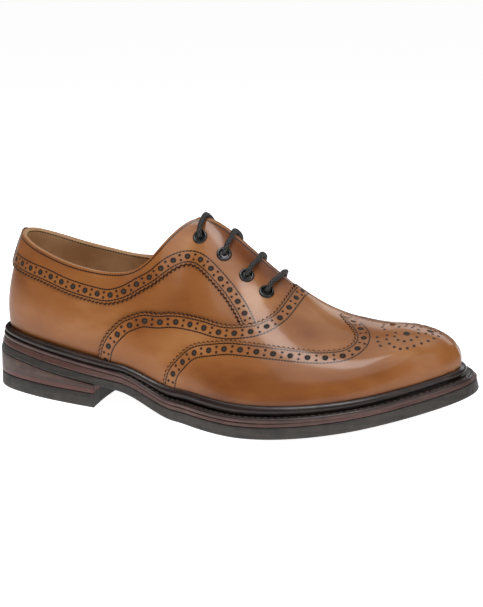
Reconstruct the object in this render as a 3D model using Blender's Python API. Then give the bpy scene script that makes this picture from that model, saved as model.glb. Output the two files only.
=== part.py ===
"""A full-brogue leather shoe for the right foot, on a welted rubber sole.

Frame: +X runs to the toe, -Y is the outer (little toe) side, +Z is up, the floor is z = 0.
The upper's outer face is one function, skin(along, height): `along` runs round the last
from the back of the heel (0) to the toe tip (1 on the outer side, -1 on the inner side),
and `height` runs up each rib of the last from the sole (0) to the top line or crest (1).
"""
import bpy
import bmesh
import numpy as np
from mathutils import Vector
from mathutils.geometry import delaunay_2d_cdt

for old in list(bpy.data.objects):
    bpy.data.objects.remove(old, do_unlink=True)

# Sizes in metres
LAST_LENGTH = 0.290
LAST_WIDTH = 0.103
INSTEP_HEIGHT = 0.106
GAP = 0.0003
WALL = 0.0022
PANEL_SINK = 0.0016
FACING_THICK = 0.0009
VAMP_THICK = 0.0010
CAP_THICK = 0.0017
STRAP_THICK = 0.0008

HEEL_HEIGHT = 0.0240
SEAT_FRONT_HEIGHT = 0.0123
TOP_PIECE = 0.0088
RUBBER_AT_HEEL, RUBBER_AT_BALL = 0.0050, 0.0072
MIDSOLE_AT_HEEL, MIDSOLE_AT_BALL = 0.0042, 0.0024
WELT_THICK = 0.0025
LEDGE_AT_HEEL, LEDGE_AT_BALL, LEDGE_AT_TOE = 0.0050, 0.0072, 0.0085
BEAD_WIDTH = 0.0030
BEAD_TOP_WIDTH = 0.0012
WELT_INSIDE = 0.0095
HEEL_FLARE = 0.0022
LIFT_FLARE, TOP_PIECE_FLARE = 0.0024, 0.0026
TOE_FLARE = 0.0028
BREAST_HOLLOW = 0.0040
HEEL_POINTS, BREAST_POINTS = 18, 7
INSOLE_THICK = 0.0030

TOE_SPRING = 0.0225
SPRING_CURVE = 1.75
BREAST_X = -0.0675
HEEL_BACK_X = -0.155
SEAT_FRONT_X = BREAST_X + 0.0155
TREAD_BACK_X = -0.0110
TREAD_FRONT_X = 0.026
WAIST_FRONT_X, WAIST_RUN = 0.016, 0.100
TOE_LEDGE_X, TOE_LEDGE_RUN = 0.080, 0.060
HEEL_FLARE_X, HEEL_FLARE_RUN = 0.020, 0.050
TOE_FLARE_X, TOE_FLARE_RUN = 0.100, 0.040

THROAT_ALONG = 0.602
LEAST_GAP = 0.0016
TONGUE_THICK = 0.0018
TONGUE_DROP = 0.0006
TONGUE_FOOT, TONGUE_HEAD, TONGUE_RIBS = 0.645, 0.492, 11
TONGUE_HEIGHTS = np.array([0.72, 0.80, 0.88, 0.945])
SINK_FROM, SINK_RUN = 0.30, 0.22

EYELET_RADIUS = 0.0044
EYELET_HOLE = 0.0026
EYELET_HEIGHT = 0.0009
EYELET_TURNS = 12
LACE_RADIUS = 0.00155
LACE_LIFT = 0.0002
LACE_POINTS = 13
# Along each half of a lace bar: share of the way to the crest, extra lift over the facing
LACE_STEPS = [(0.80, 0.0005)]

# A row for each rib of the last, heel back to toe tip. x and top x are shares of
# LAST_LENGTH; outer, inner, half gap, crest y, bulge and reach are shares of LAST_WIDTH;
# top z, rise and drop are shares of INSTEP_HEIGHT; fall is the crest's slope.
SECTIONS = [
    # along, x, outer, inner, top x, half gap, crest y, top z, bulge, rise, reach, drop, fall
    (0.00, -0.500, 0.000, 0.000, -0.468, 0.000, 0.000, 0.928, 0.060, 0.210, 0.08, 0.170, 0.00),
    (0.05, -0.486, 0.144, 0.144, -0.455, 0.100, 0.000, 0.912, 0.045, 0.210, 0.05, 0.160, 0.00),
    (0.12, -0.416, 0.256, 0.254, -0.392, 0.198, 0.000, 0.850, 0.044, 0.190, 0.05, 0.150, 0.00),
    (0.22, -0.315, 0.322, 0.292, -0.290, 0.258, 0.005, 0.783, 0.045, 0.180, 0.06, 0.140, 0.00),
    (0.33, -0.196, 0.356, 0.280, -0.200, 0.265, 0.010, 0.765, 0.050, 0.170, 0.07, 0.140, 0.00),
    (0.42, -0.100, 0.370, 0.270, -0.123, 0.195, 0.020, 0.890, 0.060, 0.180, 0.10, 0.150, 0.00),
    (0.48, -0.023, 0.412, 0.285, -0.042, 0.022, 0.026, 1.070, 0.070, 0.200, 0.14, 0.120, 0.00),
    (0.53, 0.025, 0.465, 0.320, 0.065, 0.012, 0.030, 0.905, 0.070, 0.200, 0.20, 0.060, 0.00),
    (0.60, 0.105, 0.528, 0.385, 0.150, 0.008, 0.033, 0.735, 0.060, 0.200, 0.23, 0.035, 0.60),
    (0.67, 0.195, 0.522, 0.435, 0.221, 0.000, 0.035, 0.610, 0.055, 0.200, 0.26, 0.000, 0.48),
    (0.76, 0.288, 0.459, 0.450, 0.300, 0.000, 0.035, 0.550, 0.055, 0.190, 0.26, 0.000, 0.20),
    (0.85, 0.375, 0.335, 0.395, 0.345, 0.000, 0.040, 0.540, 0.055, 0.180, 0.25, 0.000, 0.06),
    (0.93, 0.466, 0.120, 0.260, 0.358, 0.000, 0.043, 0.546, 0.048, 0.172, 0.29, 0.000, 0.02),
    (1.00, 0.500, -0.040, 0.040, 0.361, 0.000, 0.044, 0.545, 0.045, 0.170, 0.29, 0.000, 0.02),
]

# Seams as (along, height) points, sole or heel end first
FACING_SEAM = [
    (0.000, 0.645), (0.070, 0.650), (0.154, 0.686), (0.216, 0.665), (0.270, 0.655),
    (0.313, 0.654), (0.356, 0.703), (0.395, 0.748), (0.430, 0.724), (0.466, 0.697),
    (0.500, 0.650), (0.530, 0.617), (0.566, 0.545),
]
VAMP_SEAM = [
    (0.300, 0.000), (0.302, 0.100), (0.313, 0.292), (0.332, 0.424), (0.360, 0.536),
    (0.393, 0.574), (0.439, 0.508), (0.481, 0.460), (0.523, 0.485), (0.566, 0.535),
    (0.596, 0.597), (0.610, 0.680), (0.613, 0.800), (0.611, 0.900), (0.608, 1.000),
]
CAP_SEAM = [
    (0.440, 0.000), (0.442, 0.120), (0.452, 0.222), (0.477, 0.298), (0.521, 0.381),
    (0.560, 0.440), (0.609, 0.476), (0.669, 0.515), (0.730, 0.552), (0.762, 0.592),
    (0.777, 0.665), (0.773, 0.745), (0.752, 0.830), (0.724, 0.915), (0.704, 1.000),
]
STRAP_HALF_ALONG = 0.020
STRAP_FOOT = 0.62

# Eyelets, top of the facing first: (along, height)
EYELETS = [(0.480, 0.840), (0.510, 0.812), (0.541, 0.800), (0.580, 0.786)]

# Grid of the faceted solids
RIBS_PER_SIDE = 29
RIB_CROWDING = 0.5
HEIGHTS = np.array([0.0, 0.045, 0.095, 0.17, 0.27, 0.39, 0.52, 0.65, 0.78, 0.90, 1.0])


def smooth(t):
    """3t^2 - 2t^3 between 0 and 1."""
    t = np.clip(t, 0.0, 1.0)
    return t * t * (3.0 - 2.0 * t)


def heel_to_ball(x, at_heel, at_ball):
    return at_ball + (at_heel - at_ball) * smooth((WAIST_FRONT_X - x) / WAIST_RUN)


def sole_bottom(x):
    """Height of the rubber sole's underside: pitched heel seat, waist, flat tread and toe spring."""
    pitch = (HEEL_HEIGHT - SEAT_FRONT_HEIGHT) / (SEAT_FRONT_X - HEEL_BACK_X)
    seat = SEAT_FRONT_HEIGHT + pitch * (SEAT_FRONT_X - x)
    waist_run = TREAD_BACK_X - SEAT_FRONT_X
    t = np.clip((x - SEAT_FRONT_X) / waist_run, 0.0, 1.0)
    waist = (1 - t) ** 2 * (SEAT_FRONT_HEIGHT * (1 + 2 * t) - pitch * waist_run * t)
    run = np.clip(x - TREAD_FRONT_X, 0.0, None) / (0.5 * LAST_LENGTH + LEDGE_AT_TOE - TREAD_FRONT_X)
    return np.where(x < SEAT_FRONT_X, seat, waist) + TOE_SPRING * run ** SPRING_CURVE


def rubber_top(x):
    return sole_bottom(x) + heel_to_ball(x, RUBBER_AT_HEEL, RUBBER_AT_BALL)


def midsole_top(x):
    return rubber_top(x) + heel_to_ball(x, MIDSOLE_AT_HEEL, MIDSOLE_AT_BALL)


def welt_top(x):
    return midsole_top(x) + WELT_THICK


def ledge(x):
    """How far the welt stands out from the last."""
    return (heel_to_ball(x, LEDGE_AT_HEEL, LEDGE_AT_BALL)
            + (LEDGE_AT_TOE - LEDGE_AT_BALL) * smooth((x - TOE_LEDGE_X) / TOE_LEDGE_RUN))


def flare(x):
    """How far the foot of the sole's edge leans out at heel and toe."""
    at_heel = smooth((BREAST_X + HEEL_FLARE_X - x) / HEEL_FLARE_RUN)
    return HEEL_FLARE * at_heel + TOE_FLARE * smooth((x - TOE_FLARE_X) / TOE_FLARE_RUN)


def panel_sink(along):
    """How far the upper's wall is set back where the vamp and cap lie over it."""
    return PANEL_SINK * smooth((np.abs(along) - SINK_FROM) / SINK_RUN)


def section_knots():
    """The rows of both sides in one ring: knots, and columns in metres."""
    rows = np.array(SECTIONS)
    scale = np.array([LAST_LENGTH, LAST_WIDTH, LAST_WIDTH, LAST_LENGTH, LAST_WIDTH, LAST_WIDTH,
                      INSTEP_HEIGHT, LAST_WIDTH, INSTEP_HEIGHT, LAST_WIDTH, INSTEP_HEIGHT, 1.0])
    rows[:, 1:] *= scale
    inner = rows[:0:-1].copy()
    outer = rows[:-1].copy()
    inner[:, 0] *= -1.0
    inner[:, 2] = inner[:, 3]
    outer[:, 2] *= -1.0
    ring = np.delete(np.concatenate([inner, outer]), 3, axis=1)
    return ring[:, 0], ring[:, 1:]


def ring_slopes(knots, values):
    """Slopes of the smooth closed cubic through the rows; the half gap never overshoots."""
    count = len(knots)
    width = np.diff(np.append(knots, knots[0] + 2.0))
    rise = (np.roll(values, -1, 0) - values) / width[:, None]
    before = np.roll(width, 1)
    system = np.zeros((count, count))
    for i in range(count):
        system[i, i - 1] += width[i]
        system[i, i] += 2.0 * (before[i] + width[i])
        system[i, (i + 1) % count] += before[i]
    slopes = np.linalg.solve(
        system, 3.0 * (width[:, None] * np.roll(rise, 1, 0) + before[:, None] * rise))
    gap = rise[:, GAP_COLUMN]
    last = np.roll(gap, 1)
    total = np.where(gap + last == 0.0, 1.0, gap + last)
    slopes[:, GAP_COLUMN] = np.where(gap * last > 0.0, 2.0 * gap * last / total, 0.0)
    return slopes


GAP_COLUMN = 3
KNOTS, ROW_VALUES = section_knots()
ROW_SLOPES = ring_slopes(KNOTS, ROW_VALUES)


def columns(along):
    """The section columns at any place round the last."""
    width = np.diff(np.append(KNOTS, KNOTS[0] + 2.0))
    run = (np.asarray(along, float) - KNOTS[0]) % 2.0
    i = np.clip(np.searchsorted(KNOTS - KNOTS[0], run, side="right") - 1, 0, len(KNOTS) - 1)
    j = (i + 1) % len(KNOTS)
    t = ((run - (KNOTS[i] - KNOTS[0])) / width[i])[..., None]
    w = width[i][..., None]
    return (ROW_VALUES[i] * (1 + 2 * t) * (1 - t) ** 2 + ROW_SLOPES[i] * w * t * (1 - t) ** 2
            + ROW_VALUES[j] * t * t * (3 - 2 * t) + ROW_SLOPES[j] * w * t * t * (t - 1))


def rib_controls(along):
    """The four points that shape each rib: sole, swell, shoulder and top."""
    along = np.asarray(along, float)
    c = columns(along)
    step = 1e-4
    run = (columns(along + step) - columns(along - step))[..., :2]
    out = np.stack([run[..., 1], -run[..., 0]], -1)
    out = out / np.linalg.norm(out, axis=-1, keepdims=True)
    turn = (along + 1.0) % 2.0 - 1.0
    side = np.where(turn >= 0.0, -1.0, 1.0)
    is_open = (np.abs(turn) < THROAT_ALONG) & (np.abs(turn) > 1e-9)
    half = np.where(is_open, np.maximum(c[..., 3], LEAST_GAP / 2), 0.0)
    foot = np.stack([c[..., 0], c[..., 1], welt_top(c[..., 0]) + GAP], -1)
    top = np.stack([c[..., 2], c[..., 4] + side * half, c[..., 5]], -1)
    swell = foot.copy()
    swell[..., :2] += out * c[..., 6:7]
    swell[..., 2] += c[..., 7]
    away = foot[..., :2] - top[..., :2]
    away = away / (np.linalg.norm(away, axis=-1, keepdims=True) + 1e-9)
    shoulder = top.copy()
    shoulder[..., :2] += away * c[..., 8:9]
    shoulder[..., 2] -= c[..., 9] + c[..., 10] * away[..., 0] * c[..., 8]
    return foot, swell, shoulder, top


def skin(along, height):
    """Point on the finished upper: foot(1-h)^3 + 3 swell h(1-h)^2 + 3 shoulder h^2(1-h) + top h^3."""
    along, height = np.broadcast_arrays(np.asarray(along, float), np.asarray(height, float))
    foot, swell, shoulder, top = rib_controls(along)
    h = height[..., None]
    return (foot * (1 - h) ** 3 + 3 * swell * h * (1 - h) ** 2
            + 3 * shoulder * h * h * (1 - h) + top * h ** 3)


def rib_stations():
    """Ribs of the faceted solids, crowded at heel and toe: inner toe tip, heel, outer toe tip."""
    u = np.linspace(0.0, 1.0, RIBS_PER_SIDE + 1)
    one_side = u - RIB_CROWDING * np.sin(2 * np.pi * u) / (2 * np.pi)
    return np.concatenate([-one_side[:0:-1], one_side])


def weld(points, faces):
    """Join equal points and drop the faces that close up."""
    keys = np.round(points * 1e7).astype(np.int64)
    _, first, back = np.unique(keys, axis=0, return_index=True, return_inverse=True)
    back = back.reshape(-1)
    kept = []
    for face in faces:
        loop = [int(back[k]) for k in face]
        loop = [k for n, k in enumerate(loop) if k != loop[n - 1]]
        if len(set(loop)) > 2:
            kept.append(loop)
    return points[first], kept, back


def triangle_normals(points, faces):
    """A unit normal at each point, from the faces round it."""
    normal = np.zeros_like(points)
    tri = np.array(faces)
    area = np.cross(points[tri[:, 1]] - points[tri[:, 0]], points[tri[:, 2]] - points[tri[:, 0]])
    for corner in range(3):
        np.add.at(normal, tri[:, corner], area)
    return normal / np.linalg.norm(normal, axis=1, keepdims=True)


def build_grid():
    """The faceted skin: grid points, outward normals, and its triangles as grid indexes."""
    stations = rib_stations()
    rows, cols = len(stations), len(HEIGHTS)
    points = skin(stations[:, None], HEIGHTS[None, :])
    number = np.arange(rows * cols).reshape(rows, cols)
    a, b = number[:-1, :-1].ravel(), number[1:, :-1].ravel()
    c, d = number[1:, 1:].ravel(), number[:-1, 1:].ravel()
    faces = np.concatenate([np.stack([a, b, c], 1), np.stack([a, c, d], 1)])
    flat = points.reshape(-1, 3)
    joined, kept, back = weld(flat, faces.tolist())
    normal = triangle_normals(joined, kept)[back].reshape(points.shape)
    normal[:, 0, 2] = 0.0
    edge = (np.abs(stations) > 0.45) & (np.abs(stations) < THROAT_ALONG)
    normal[edge, -1, 1] = 0.0
    normal /= np.linalg.norm(normal, axis=2, keepdims=True)
    return stations, points, normal, faces


STATIONS, GRID, GRID_NORMAL, GRID_FACES = build_grid()
SINK = panel_sink(STATIONS)[:, None, None]


def layer(distance):
    """Every grid point moved `distance` out from the upper's wall."""
    return GRID + GRID_NORMAL * (distance - SINK)


def at_grid(values, along, height):
    """Values of the grid read on its flat triangles."""
    i = np.clip(np.searchsorted(STATIONS, along, side="right") - 1, 0, len(STATIONS) - 2)
    j = np.clip(np.searchsorted(HEIGHTS, height, side="right") - 1, 0, len(HEIGHTS) - 2)
    a = ((along - STATIONS[i]) / (STATIONS[i + 1] - STATIONS[i]))[:, None]
    b = ((height - HEIGHTS[j]) / (HEIGHTS[j + 1] - HEIGHTS[j]))[:, None]
    p00, p10 = values[i, j], values[i + 1, j]
    p01, p11 = values[i, j + 1], values[i + 1, j + 1]
    lower = p00 + a * (p10 - p00) + b * (p11 - p10)
    upper = p00 + b * (p01 - p00) + a * (p11 - p01)
    return np.where(a >= b, lower, upper)


def add_object(name, points, faces, material, soft=True):
    mesh = bpy.data.meshes.new(name)
    mesh.from_pydata([tuple(p) for p in points], [], faces)
    body = bmesh.new()
    body.from_mesh(mesh)
    bmesh.ops.remove_doubles(body, verts=body.verts, dist=1e-6)
    bmesh.ops.dissolve_degenerate(body, dist=1e-6, edges=body.edges)
    bmesh.ops.triangulate(body, faces=[f for f in body.faces if len(f.verts) > 4])
    bmesh.ops.recalc_face_normals(body, faces=body.faces)
    body.to_mesh(mesh)
    body.free()
    for face in mesh.polygons:
        face.use_smooth = soft
    node = bpy.data.objects.new(name, mesh)
    bpy.context.collection.objects.link(node)
    mesh.materials.append(material)
    return node


def solid_between(name, outer, inner, faces, material):
    """A closed wall between two copies of one surface."""
    count = len(outer)
    used = {}
    for face in faces:
        for n, k in enumerate(face):
            used[(face[n - 1], k)] = True
    shell = [list(f) for f in faces] + [[k + count for k in reversed(f)] for f in faces]
    for (p, q) in used:
        if (q, p) not in used:
            shell.append([q, p, p + count, q + count])
    return add_object(name, np.concatenate([outer, inner]), shell, material)


def seam_curve(rows, samples):
    """Points spaced along a smooth open curve through the seam's rows."""
    rows = np.array(rows)
    size = np.array([LAST_LENGTH * 1.15, LAST_WIDTH])
    knots = np.append(0.0, np.cumsum(np.linalg.norm(np.diff(rows * size, axis=0), axis=1)))
    slope = np.gradient(rows, knots, axis=0)
    at = np.linspace(0.0, knots[-1], samples)
    i = np.clip(np.searchsorted(knots, at, side="right") - 1, 0, len(knots) - 2)
    w = (knots[i + 1] - knots[i])[:, None]
    t = ((at - knots[i]) / w[:, 0])[:, None]
    return (rows[i] * (1 + 2 * t) * (1 - t) ** 2 + slope[i] * w * t * (1 - t) ** 2
            + rows[i + 1] * t * t * (3 - 2 * t) + slope[i + 1] * w * t * t * (t - 1))


def beside(curve, distance):
    """The seam moved sideways over the skin by a real distance, left of its run."""
    step = 1e-4
    a, h = curve[:, 0], np.clip(curve[:, 1], 0.002, 0.998)
    by_along = (skin(a + step, h) - skin(a - step, h)) / (2 * step)
    by_height = (skin(a, h + step) - skin(a, h - step)) / (2 * step)
    run = np.gradient(curve, axis=0)
    ahead = by_along * run[:, :1] + by_height * run[:, 1:]
    ahead /= np.linalg.norm(ahead, axis=1, keepdims=True)
    normal = np.cross(by_along, by_height)
    normal /= np.linalg.norm(normal, axis=1, keepdims=True)
    left = np.cross(normal, ahead) * distance
    g11 = (by_along ** 2).sum(1)
    g12 = (by_along * by_height).sum(1)
    g22 = (by_height ** 2).sum(1)
    r1 = (by_along * left).sum(1)
    r2 = (by_height * left).sum(1)
    det = g11 * g22 - g12 * g12
    moved = np.stack([(g22 * r1 - g12 * r2) / det, (g11 * r2 - g12 * r1) / det], 1)
    placed = curve + moved
    placed[:, 1] = np.clip(placed[:, 1], 0.0, 1.0)
    placed[0, 1] = curve[0, 1]
    placed[-1, 1] = curve[-1, 1]
    return placed


def inside(polygon, points):
    """Which points lie in the closed polygon."""
    x, y = points[:, :1], points[:, 1:]
    x0, y0 = polygon[:, 0], polygon[:, 1]
    x1, y1 = np.roll(x0, -1), np.roll(y0, -1)
    spans = (y0 > y) != (y1 > y)
    rise = np.where(y1 == y0, 1.0, y1 - y0)
    crossing = x0 + (y - y0) / rise * (x1 - x0)
    return ((spans & (x < crossing)).sum(1) % 2) == 1


def panel(name, seams, region, low, high, material):
    """A leather panel: the faceted skin cut along seams, between two heights over the wall."""
    stretch = np.array([3.0, 1.0])
    flat = np.stack(np.meshgrid(STATIONS, HEIGHTS, indexing="ij"), -1).reshape(-1, 2)
    lines = []
    for a, b, c in GRID_FACES.tolist():
        lines += [(a, b), (b, c), (c, a)]
    lines = sorted({tuple(sorted(pair)) for pair in lines})
    dots = [flat]
    total = len(flat)
    for seam in seams:
        dots.append(seam)
        lines += [(total + n, total + n + 1) for n in range(len(seam) - 1)]
        total += len(seam)
    spots = np.concatenate(dots) * stretch
    out = delaunay_2d_cdt([Vector(p) for p in spots], lines, [], 0, 1e-7)
    place = np.array([tuple(p) for p in out[0]]) / stretch
    place[:, 0] = np.clip(place[:, 0], STATIONS[0], STATIONS[-1])
    place[:, 1] = np.clip(place[:, 1], 0.0, 1.0)
    tris = np.array(out[2])
    chosen = inside(region, place[tris].mean(1))
    tris = tris[chosen]
    used = np.unique(tris)
    renumber = np.zeros(len(place), int)
    renumber[used] = np.arange(len(used))
    place, tris = place[used], renumber[tris]
    high_points = at_grid(layer(high), place[:, 0], place[:, 1])
    low_points = at_grid(layer(low), place[:, 0], place[:, 1])
    joined, faces, back = weld(high_points, tris.tolist())
    first = np.zeros(len(joined), int)
    first[back] = np.arange(len(back))
    return solid_between(name, joined, low_points[first], faces, material)


def mirrored(curve):
    return curve * np.array([-1.0, 1.0])


def outline(distance):
    """Plan outline of the last moved out by `distance`, toe tip first, inner side next."""
    around = STATIONS[:-1]
    foot = rib_controls(around)[0][:, :2]
    run = rib_controls(around + 1e-3)[0][:, :2] - rib_controls(around - 1e-3)[0][:, :2]
    out = np.stack([run[:, 1], -run[:, 0]], 1)
    out /= np.linalg.norm(out, axis=1, keepdims=True)
    far = distance(foot[:, 0]) if callable(distance) else distance
    return foot + out * np.reshape(far, (-1, 1) if np.ndim(far) else ())


def ring_faces(first, second, count):
    return [[first + k, first + (k + 1) % count, second + (k + 1) % count, second + k]
            for k in range(count)]


def across_faces(start, count, up):
    """Strips that close a ring from its inner side to its outer side."""
    faces = []
    for k in range(count // 2):
        quad = [start + k, start + k + 1, start + (count - k - 1) % count, start + (count - k) % count]
        quad = [v for n, v in enumerate(quad) if v not in quad[:n]]
        faces.append(quad if up else quad[::-1])
    return faces


def split(points, faces):
    """Each four-sided face cut along its shorter diagonal, so facing layers fold alike."""
    cut = []
    for face in faces:
        if len(face) != 4:
            cut.append(face)
            continue
        a, b, c, d = face
        if np.sum((points[a] - points[c]) ** 2) <= np.sum((points[b] - points[d]) ** 2):
            cut += [[a, b, c], [a, c, d]]
        else:
            cut += [[a, b, d], [b, c, d]]
    return cut


def stack(name, rings, material, hole=False):
    """A closed body from rings of equal count, bottom ring first."""
    count = len(rings[0])
    faces = []
    for n in range(len(rings) - 1):
        faces += ring_faces(n * count, (n + 1) * count, count)
    if hole:
        faces += ring_faces((len(rings) - 1) * count, 0, count)
    else:
        faces += across_faces(0, count, False)
        faces += across_faces((len(rings) - 1) * count, count, True)
    points = np.concatenate(rings)
    return add_object(name, points, split(points, faces), material, soft=False)


def raised(plan, height):
    """A plan outline lifted to a height that may follow x."""
    z = height(plan[:, 0]) if callable(height) else np.full(len(plan), height)
    return np.column_stack([plan, z])


def material(name, colour, roughness, coat=0.0, metallic=0.0):
    made = bpy.data.materials.new(name)
    made.use_nodes = True
    shader = made.node_tree.nodes["Principled BSDF"]
    shader.inputs["Base Color"].default_value = (*colour, 1.0)
    shader.inputs["Roughness"].default_value = roughness
    shader.inputs["Metallic"].default_value = metallic
    shader.inputs["Coat Weight"].default_value = coat
    return made


TAN = material("tan_calf", (0.42, 0.155, 0.042), 0.32, coat=0.4)
LINING = material("lining_leather", (0.36, 0.20, 0.09), 0.65)
INSOCK = material("insole_leather", (0.38, 0.22, 0.11), 0.6)
WELTING = material("dark_welt", (0.035, 0.022, 0.018), 0.38, coat=0.2)
MIDSOLE = material("midsole_leather", (0.095, 0.038, 0.026), 0.45)
LIFT = material("heel_leather", (0.085, 0.050, 0.036), 0.5)
RUBBER = material("sole_rubber", (0.045, 0.042, 0.038), 0.6)
METAL = material("black_eyelet", (0.03, 0.03, 0.032), 0.28, metallic=0.9)
LACE = material("lace_cord", (0.030, 0.029, 0.027), 0.75)


def build_sole():
    """Rubber sole, midsole, welt with its raised bead, and insole."""
    foot = outline(lambda x: ledge(x) + flare(x))
    mid = outline(lambda x: ledge(x) + 0.5 * flare(x))
    edge = outline(ledge)
    stack("outsole", [raised(foot, sole_bottom), raised(mid, lambda x: rubber_top(x) - GAP / 2)], RUBBER)
    inner = outline(-WELT_INSIDE)
    stack("midsole", [raised(mid, lambda x: rubber_top(x) + GAP / 2),
                      raised(edge, lambda x: midsole_top(x) - GAP / 2),
                      raised(inner, lambda x: midsole_top(x) - GAP / 2)], MIDSOLE)

    clear = layer(CAP_THICK + 2 * GAP)[:-1]
    out = np.column_stack([outline(1.0) - outline(0.0), np.zeros(len(inner))])
    bead_foot, bead_side, bead_top = (clear[:, row] for row in range(3))
    on_welt = np.column_stack([bead_foot[:, :2], welt_top(bead_foot[:, 0])])
    outer_foot = bead_foot + out * BEAD_WIDTH
    outer_foot[:, 2] = welt_top(outer_foot[:, 0])
    rings = [
        raised(inner, lambda x: midsole_top(x) + GAP / 2),
        raised(edge, lambda x: midsole_top(x) + GAP / 2),
        raised(edge, welt_top),
        outer_foot,
        bead_side + out * BEAD_WIDTH,
        bead_top + out * BEAD_TOP_WIDTH,
        bead_top,
        bead_side,
        on_welt,
        raised(inner, welt_top),
    ]
    stack("welt", rings, WELTING, hole=True)

    inside_wall = outline(lambda x: -(PANEL_SINK + WALL + 2 * GAP) * np.ones_like(x))
    plug = outline(-(WELT_INSIDE + GAP))
    stack("insole", [raised(plug, lambda x: midsole_top(x) + GAP),
                     raised(plug, lambda x: welt_top(x) + GAP),
                     raised(inside_wall, lambda x: welt_top(x) + GAP),
                     raised(inside_wall, lambda x: welt_top(x) + GAP + INSOLE_THICK)], INSOCK)


def heel_ring(extra, height):
    """Plan of the heel: the sole's edge back of the breast, and the breast's hollow line."""
    def edge_at(around):
        foot = rib_controls(around)[0][:, :2]
        run = rib_controls(around + 1e-3)[0][:, :2] - rib_controls(around - 1e-3)[0][:, :2]
        out = np.stack([run[:, 1], -run[:, 0]], 1)
        out /= np.linalg.norm(out, axis=1, keepdims=True)
        return foot + out * (ledge(foot[:, 0]) + extra)[:, None]
    fine = np.linspace(0.0, 0.5, 400)
    ends = [float(np.interp(BREAST_X, edge_at(s * fine)[:, 0], fine)) for s in (-1.0, 1.0)]
    around = np.concatenate([np.linspace(-ends[0], 0.0, HEEL_POINTS + 1),
                             np.linspace(0.0, ends[1], HEEL_POINTS + 1)[1:]])
    edge = edge_at(around)
    share = np.linspace(0.0, 1.0, BREAST_POINTS + 2)[1:-1, None]
    breast = edge[-1] + (edge[0] - edge[-1]) * share
    breast[:, 0] -= BREAST_HOLLOW * (4 * share * (1 - share))[:, 0]
    plan = np.concatenate([edge, breast])
    return raised(plan, height)


def heel_block(name, low, high, extra_low, extra_high, shade):
    bottom, top = heel_ring(extra_low, low), heel_ring(extra_high, high)
    count = len(bottom)
    faces = ring_faces(0, count, count)
    faces += [list(range(count))[::-1], list(range(count, 2 * count))]
    add_object(name, np.concatenate([bottom, top]), faces, shade, soft=False)


def build_heel():
    heel_block("heel_top_piece", 0.0, TOP_PIECE, TOP_PIECE_FLARE, LIFT_FLARE, RUBBER)
    heel_block("heel_lift", TOP_PIECE + GAP, lambda x: sole_bottom(x) - GAP, LIFT_FLARE, HEEL_FLARE, LIFT)


def build_upper():
    """The hollow upper and the panels that lie on it."""
    outer, inner = layer(0.0), layer(-WALL)
    joined, faces, back = weld(outer.reshape(-1, 3), GRID_FACES.tolist())
    first = np.zeros(len(joined), int)
    first[back] = np.arange(len(back))
    solid_between("upper", joined, inner.reshape(-1, 3)[first], faces, TAN)

    facing = seam_curve(FACING_SEAM, 40)
    vamp = seam_curve(VAMP_SEAM, 48)
    cap = seam_curve(CAP_SEAM, 48)
    before_vamp = beside(vamp, GAP)
    before_cap = beside(cap, GAP)
    meet = int(np.argmin(np.linalg.norm((before_vamp - facing[-1]) * [3.0, 1.0], axis=1)))
    facing[-1] = before_vamp[meet]
    front = before_vamp[meet:]

    edge = np.concatenate([facing, front[1:]])
    ring = np.concatenate([mirrored(edge)[::-1], edge[1:]])
    panel("facing_panel", [ring], ring, GAP, GAP + FACING_THICK, TAN)

    outer_side = np.concatenate([vamp, before_cap[::-1]])
    both = []
    for name, turn in (("outer", 1.0), ("inner", -1.0)):
        both.append(outer_side * np.array([turn, 1.0]))
    region = np.concatenate([both[0], both[0][:1], both[1], both[1][:1], both[0][:1]])
    panel("vamp_panel", [vamp, before_cap, mirrored(vamp), mirrored(before_cap)], region,
          GAP, GAP + VAMP_THICK, TAN)

    toe = np.concatenate([cap, [[1.0, 1.0], [1.0, 0.0]]])
    region = np.concatenate([toe, toe[:1], mirrored(toe), mirrored(toe)[:1], toe[:1]])
    panel("wing_cap", [cap, mirrored(cap)], region, GAP, GAP + CAP_THICK, TAN)

    w, foot = STRAP_HALF_ALONG, STRAP_FOOT
    strap = np.array([(-w, 1.0), (-w, foot), (w, foot), (w, 1.0)])
    low = 2 * GAP + FACING_THICK
    panel("back_strap", [strap], strap, low, low + STRAP_THICK, TAN)


def build_tongue():
    """The tongue under the facings, one arch at each rib from the throat to the top."""
    arches = []
    ribs = np.linspace(TONGUE_FOOT, TONGUE_HEAD, TONGUE_RIBS)
    deep = WALL + 2 * GAP
    for depth in (deep, deep + TONGUE_THICK):
        for along in ribs:
            rib = []
            for side in (1.0, -1.0):
                spots = np.full(len(TONGUE_HEIGHTS), side * along)
                rib.append(at_grid(layer(-depth), spots, TONGUE_HEIGHTS))
            crown = 0.5 * (skin(along, 1.0) + skin(-along, 1.0))
            slope = 0.5 * (skin(along - 0.01, 1.0) - skin(along + 0.01, 1.0))
            up = np.array([-slope[2], 0.0, slope[0]])
            up *= np.sign(up[2]) / np.linalg.norm(up)
            crown = crown - up * (depth + PANEL_SINK + TONGUE_DROP)
            arches.append(np.concatenate([rib[0], crown[None], rib[1][::-1]]))
    per = len(arches[0])
    count = len(ribs) * per
    number = np.arange(count).reshape(len(ribs), per)
    faces = np.stack([number[:-1, :-1], number[1:, :-1], number[1:, 1:], number[:-1, 1:]], -1)
    points = np.concatenate(arches)
    solid_between("tongue", points[:count], points[count:], faces.reshape(-1, 4).tolist(), LINING)


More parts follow.
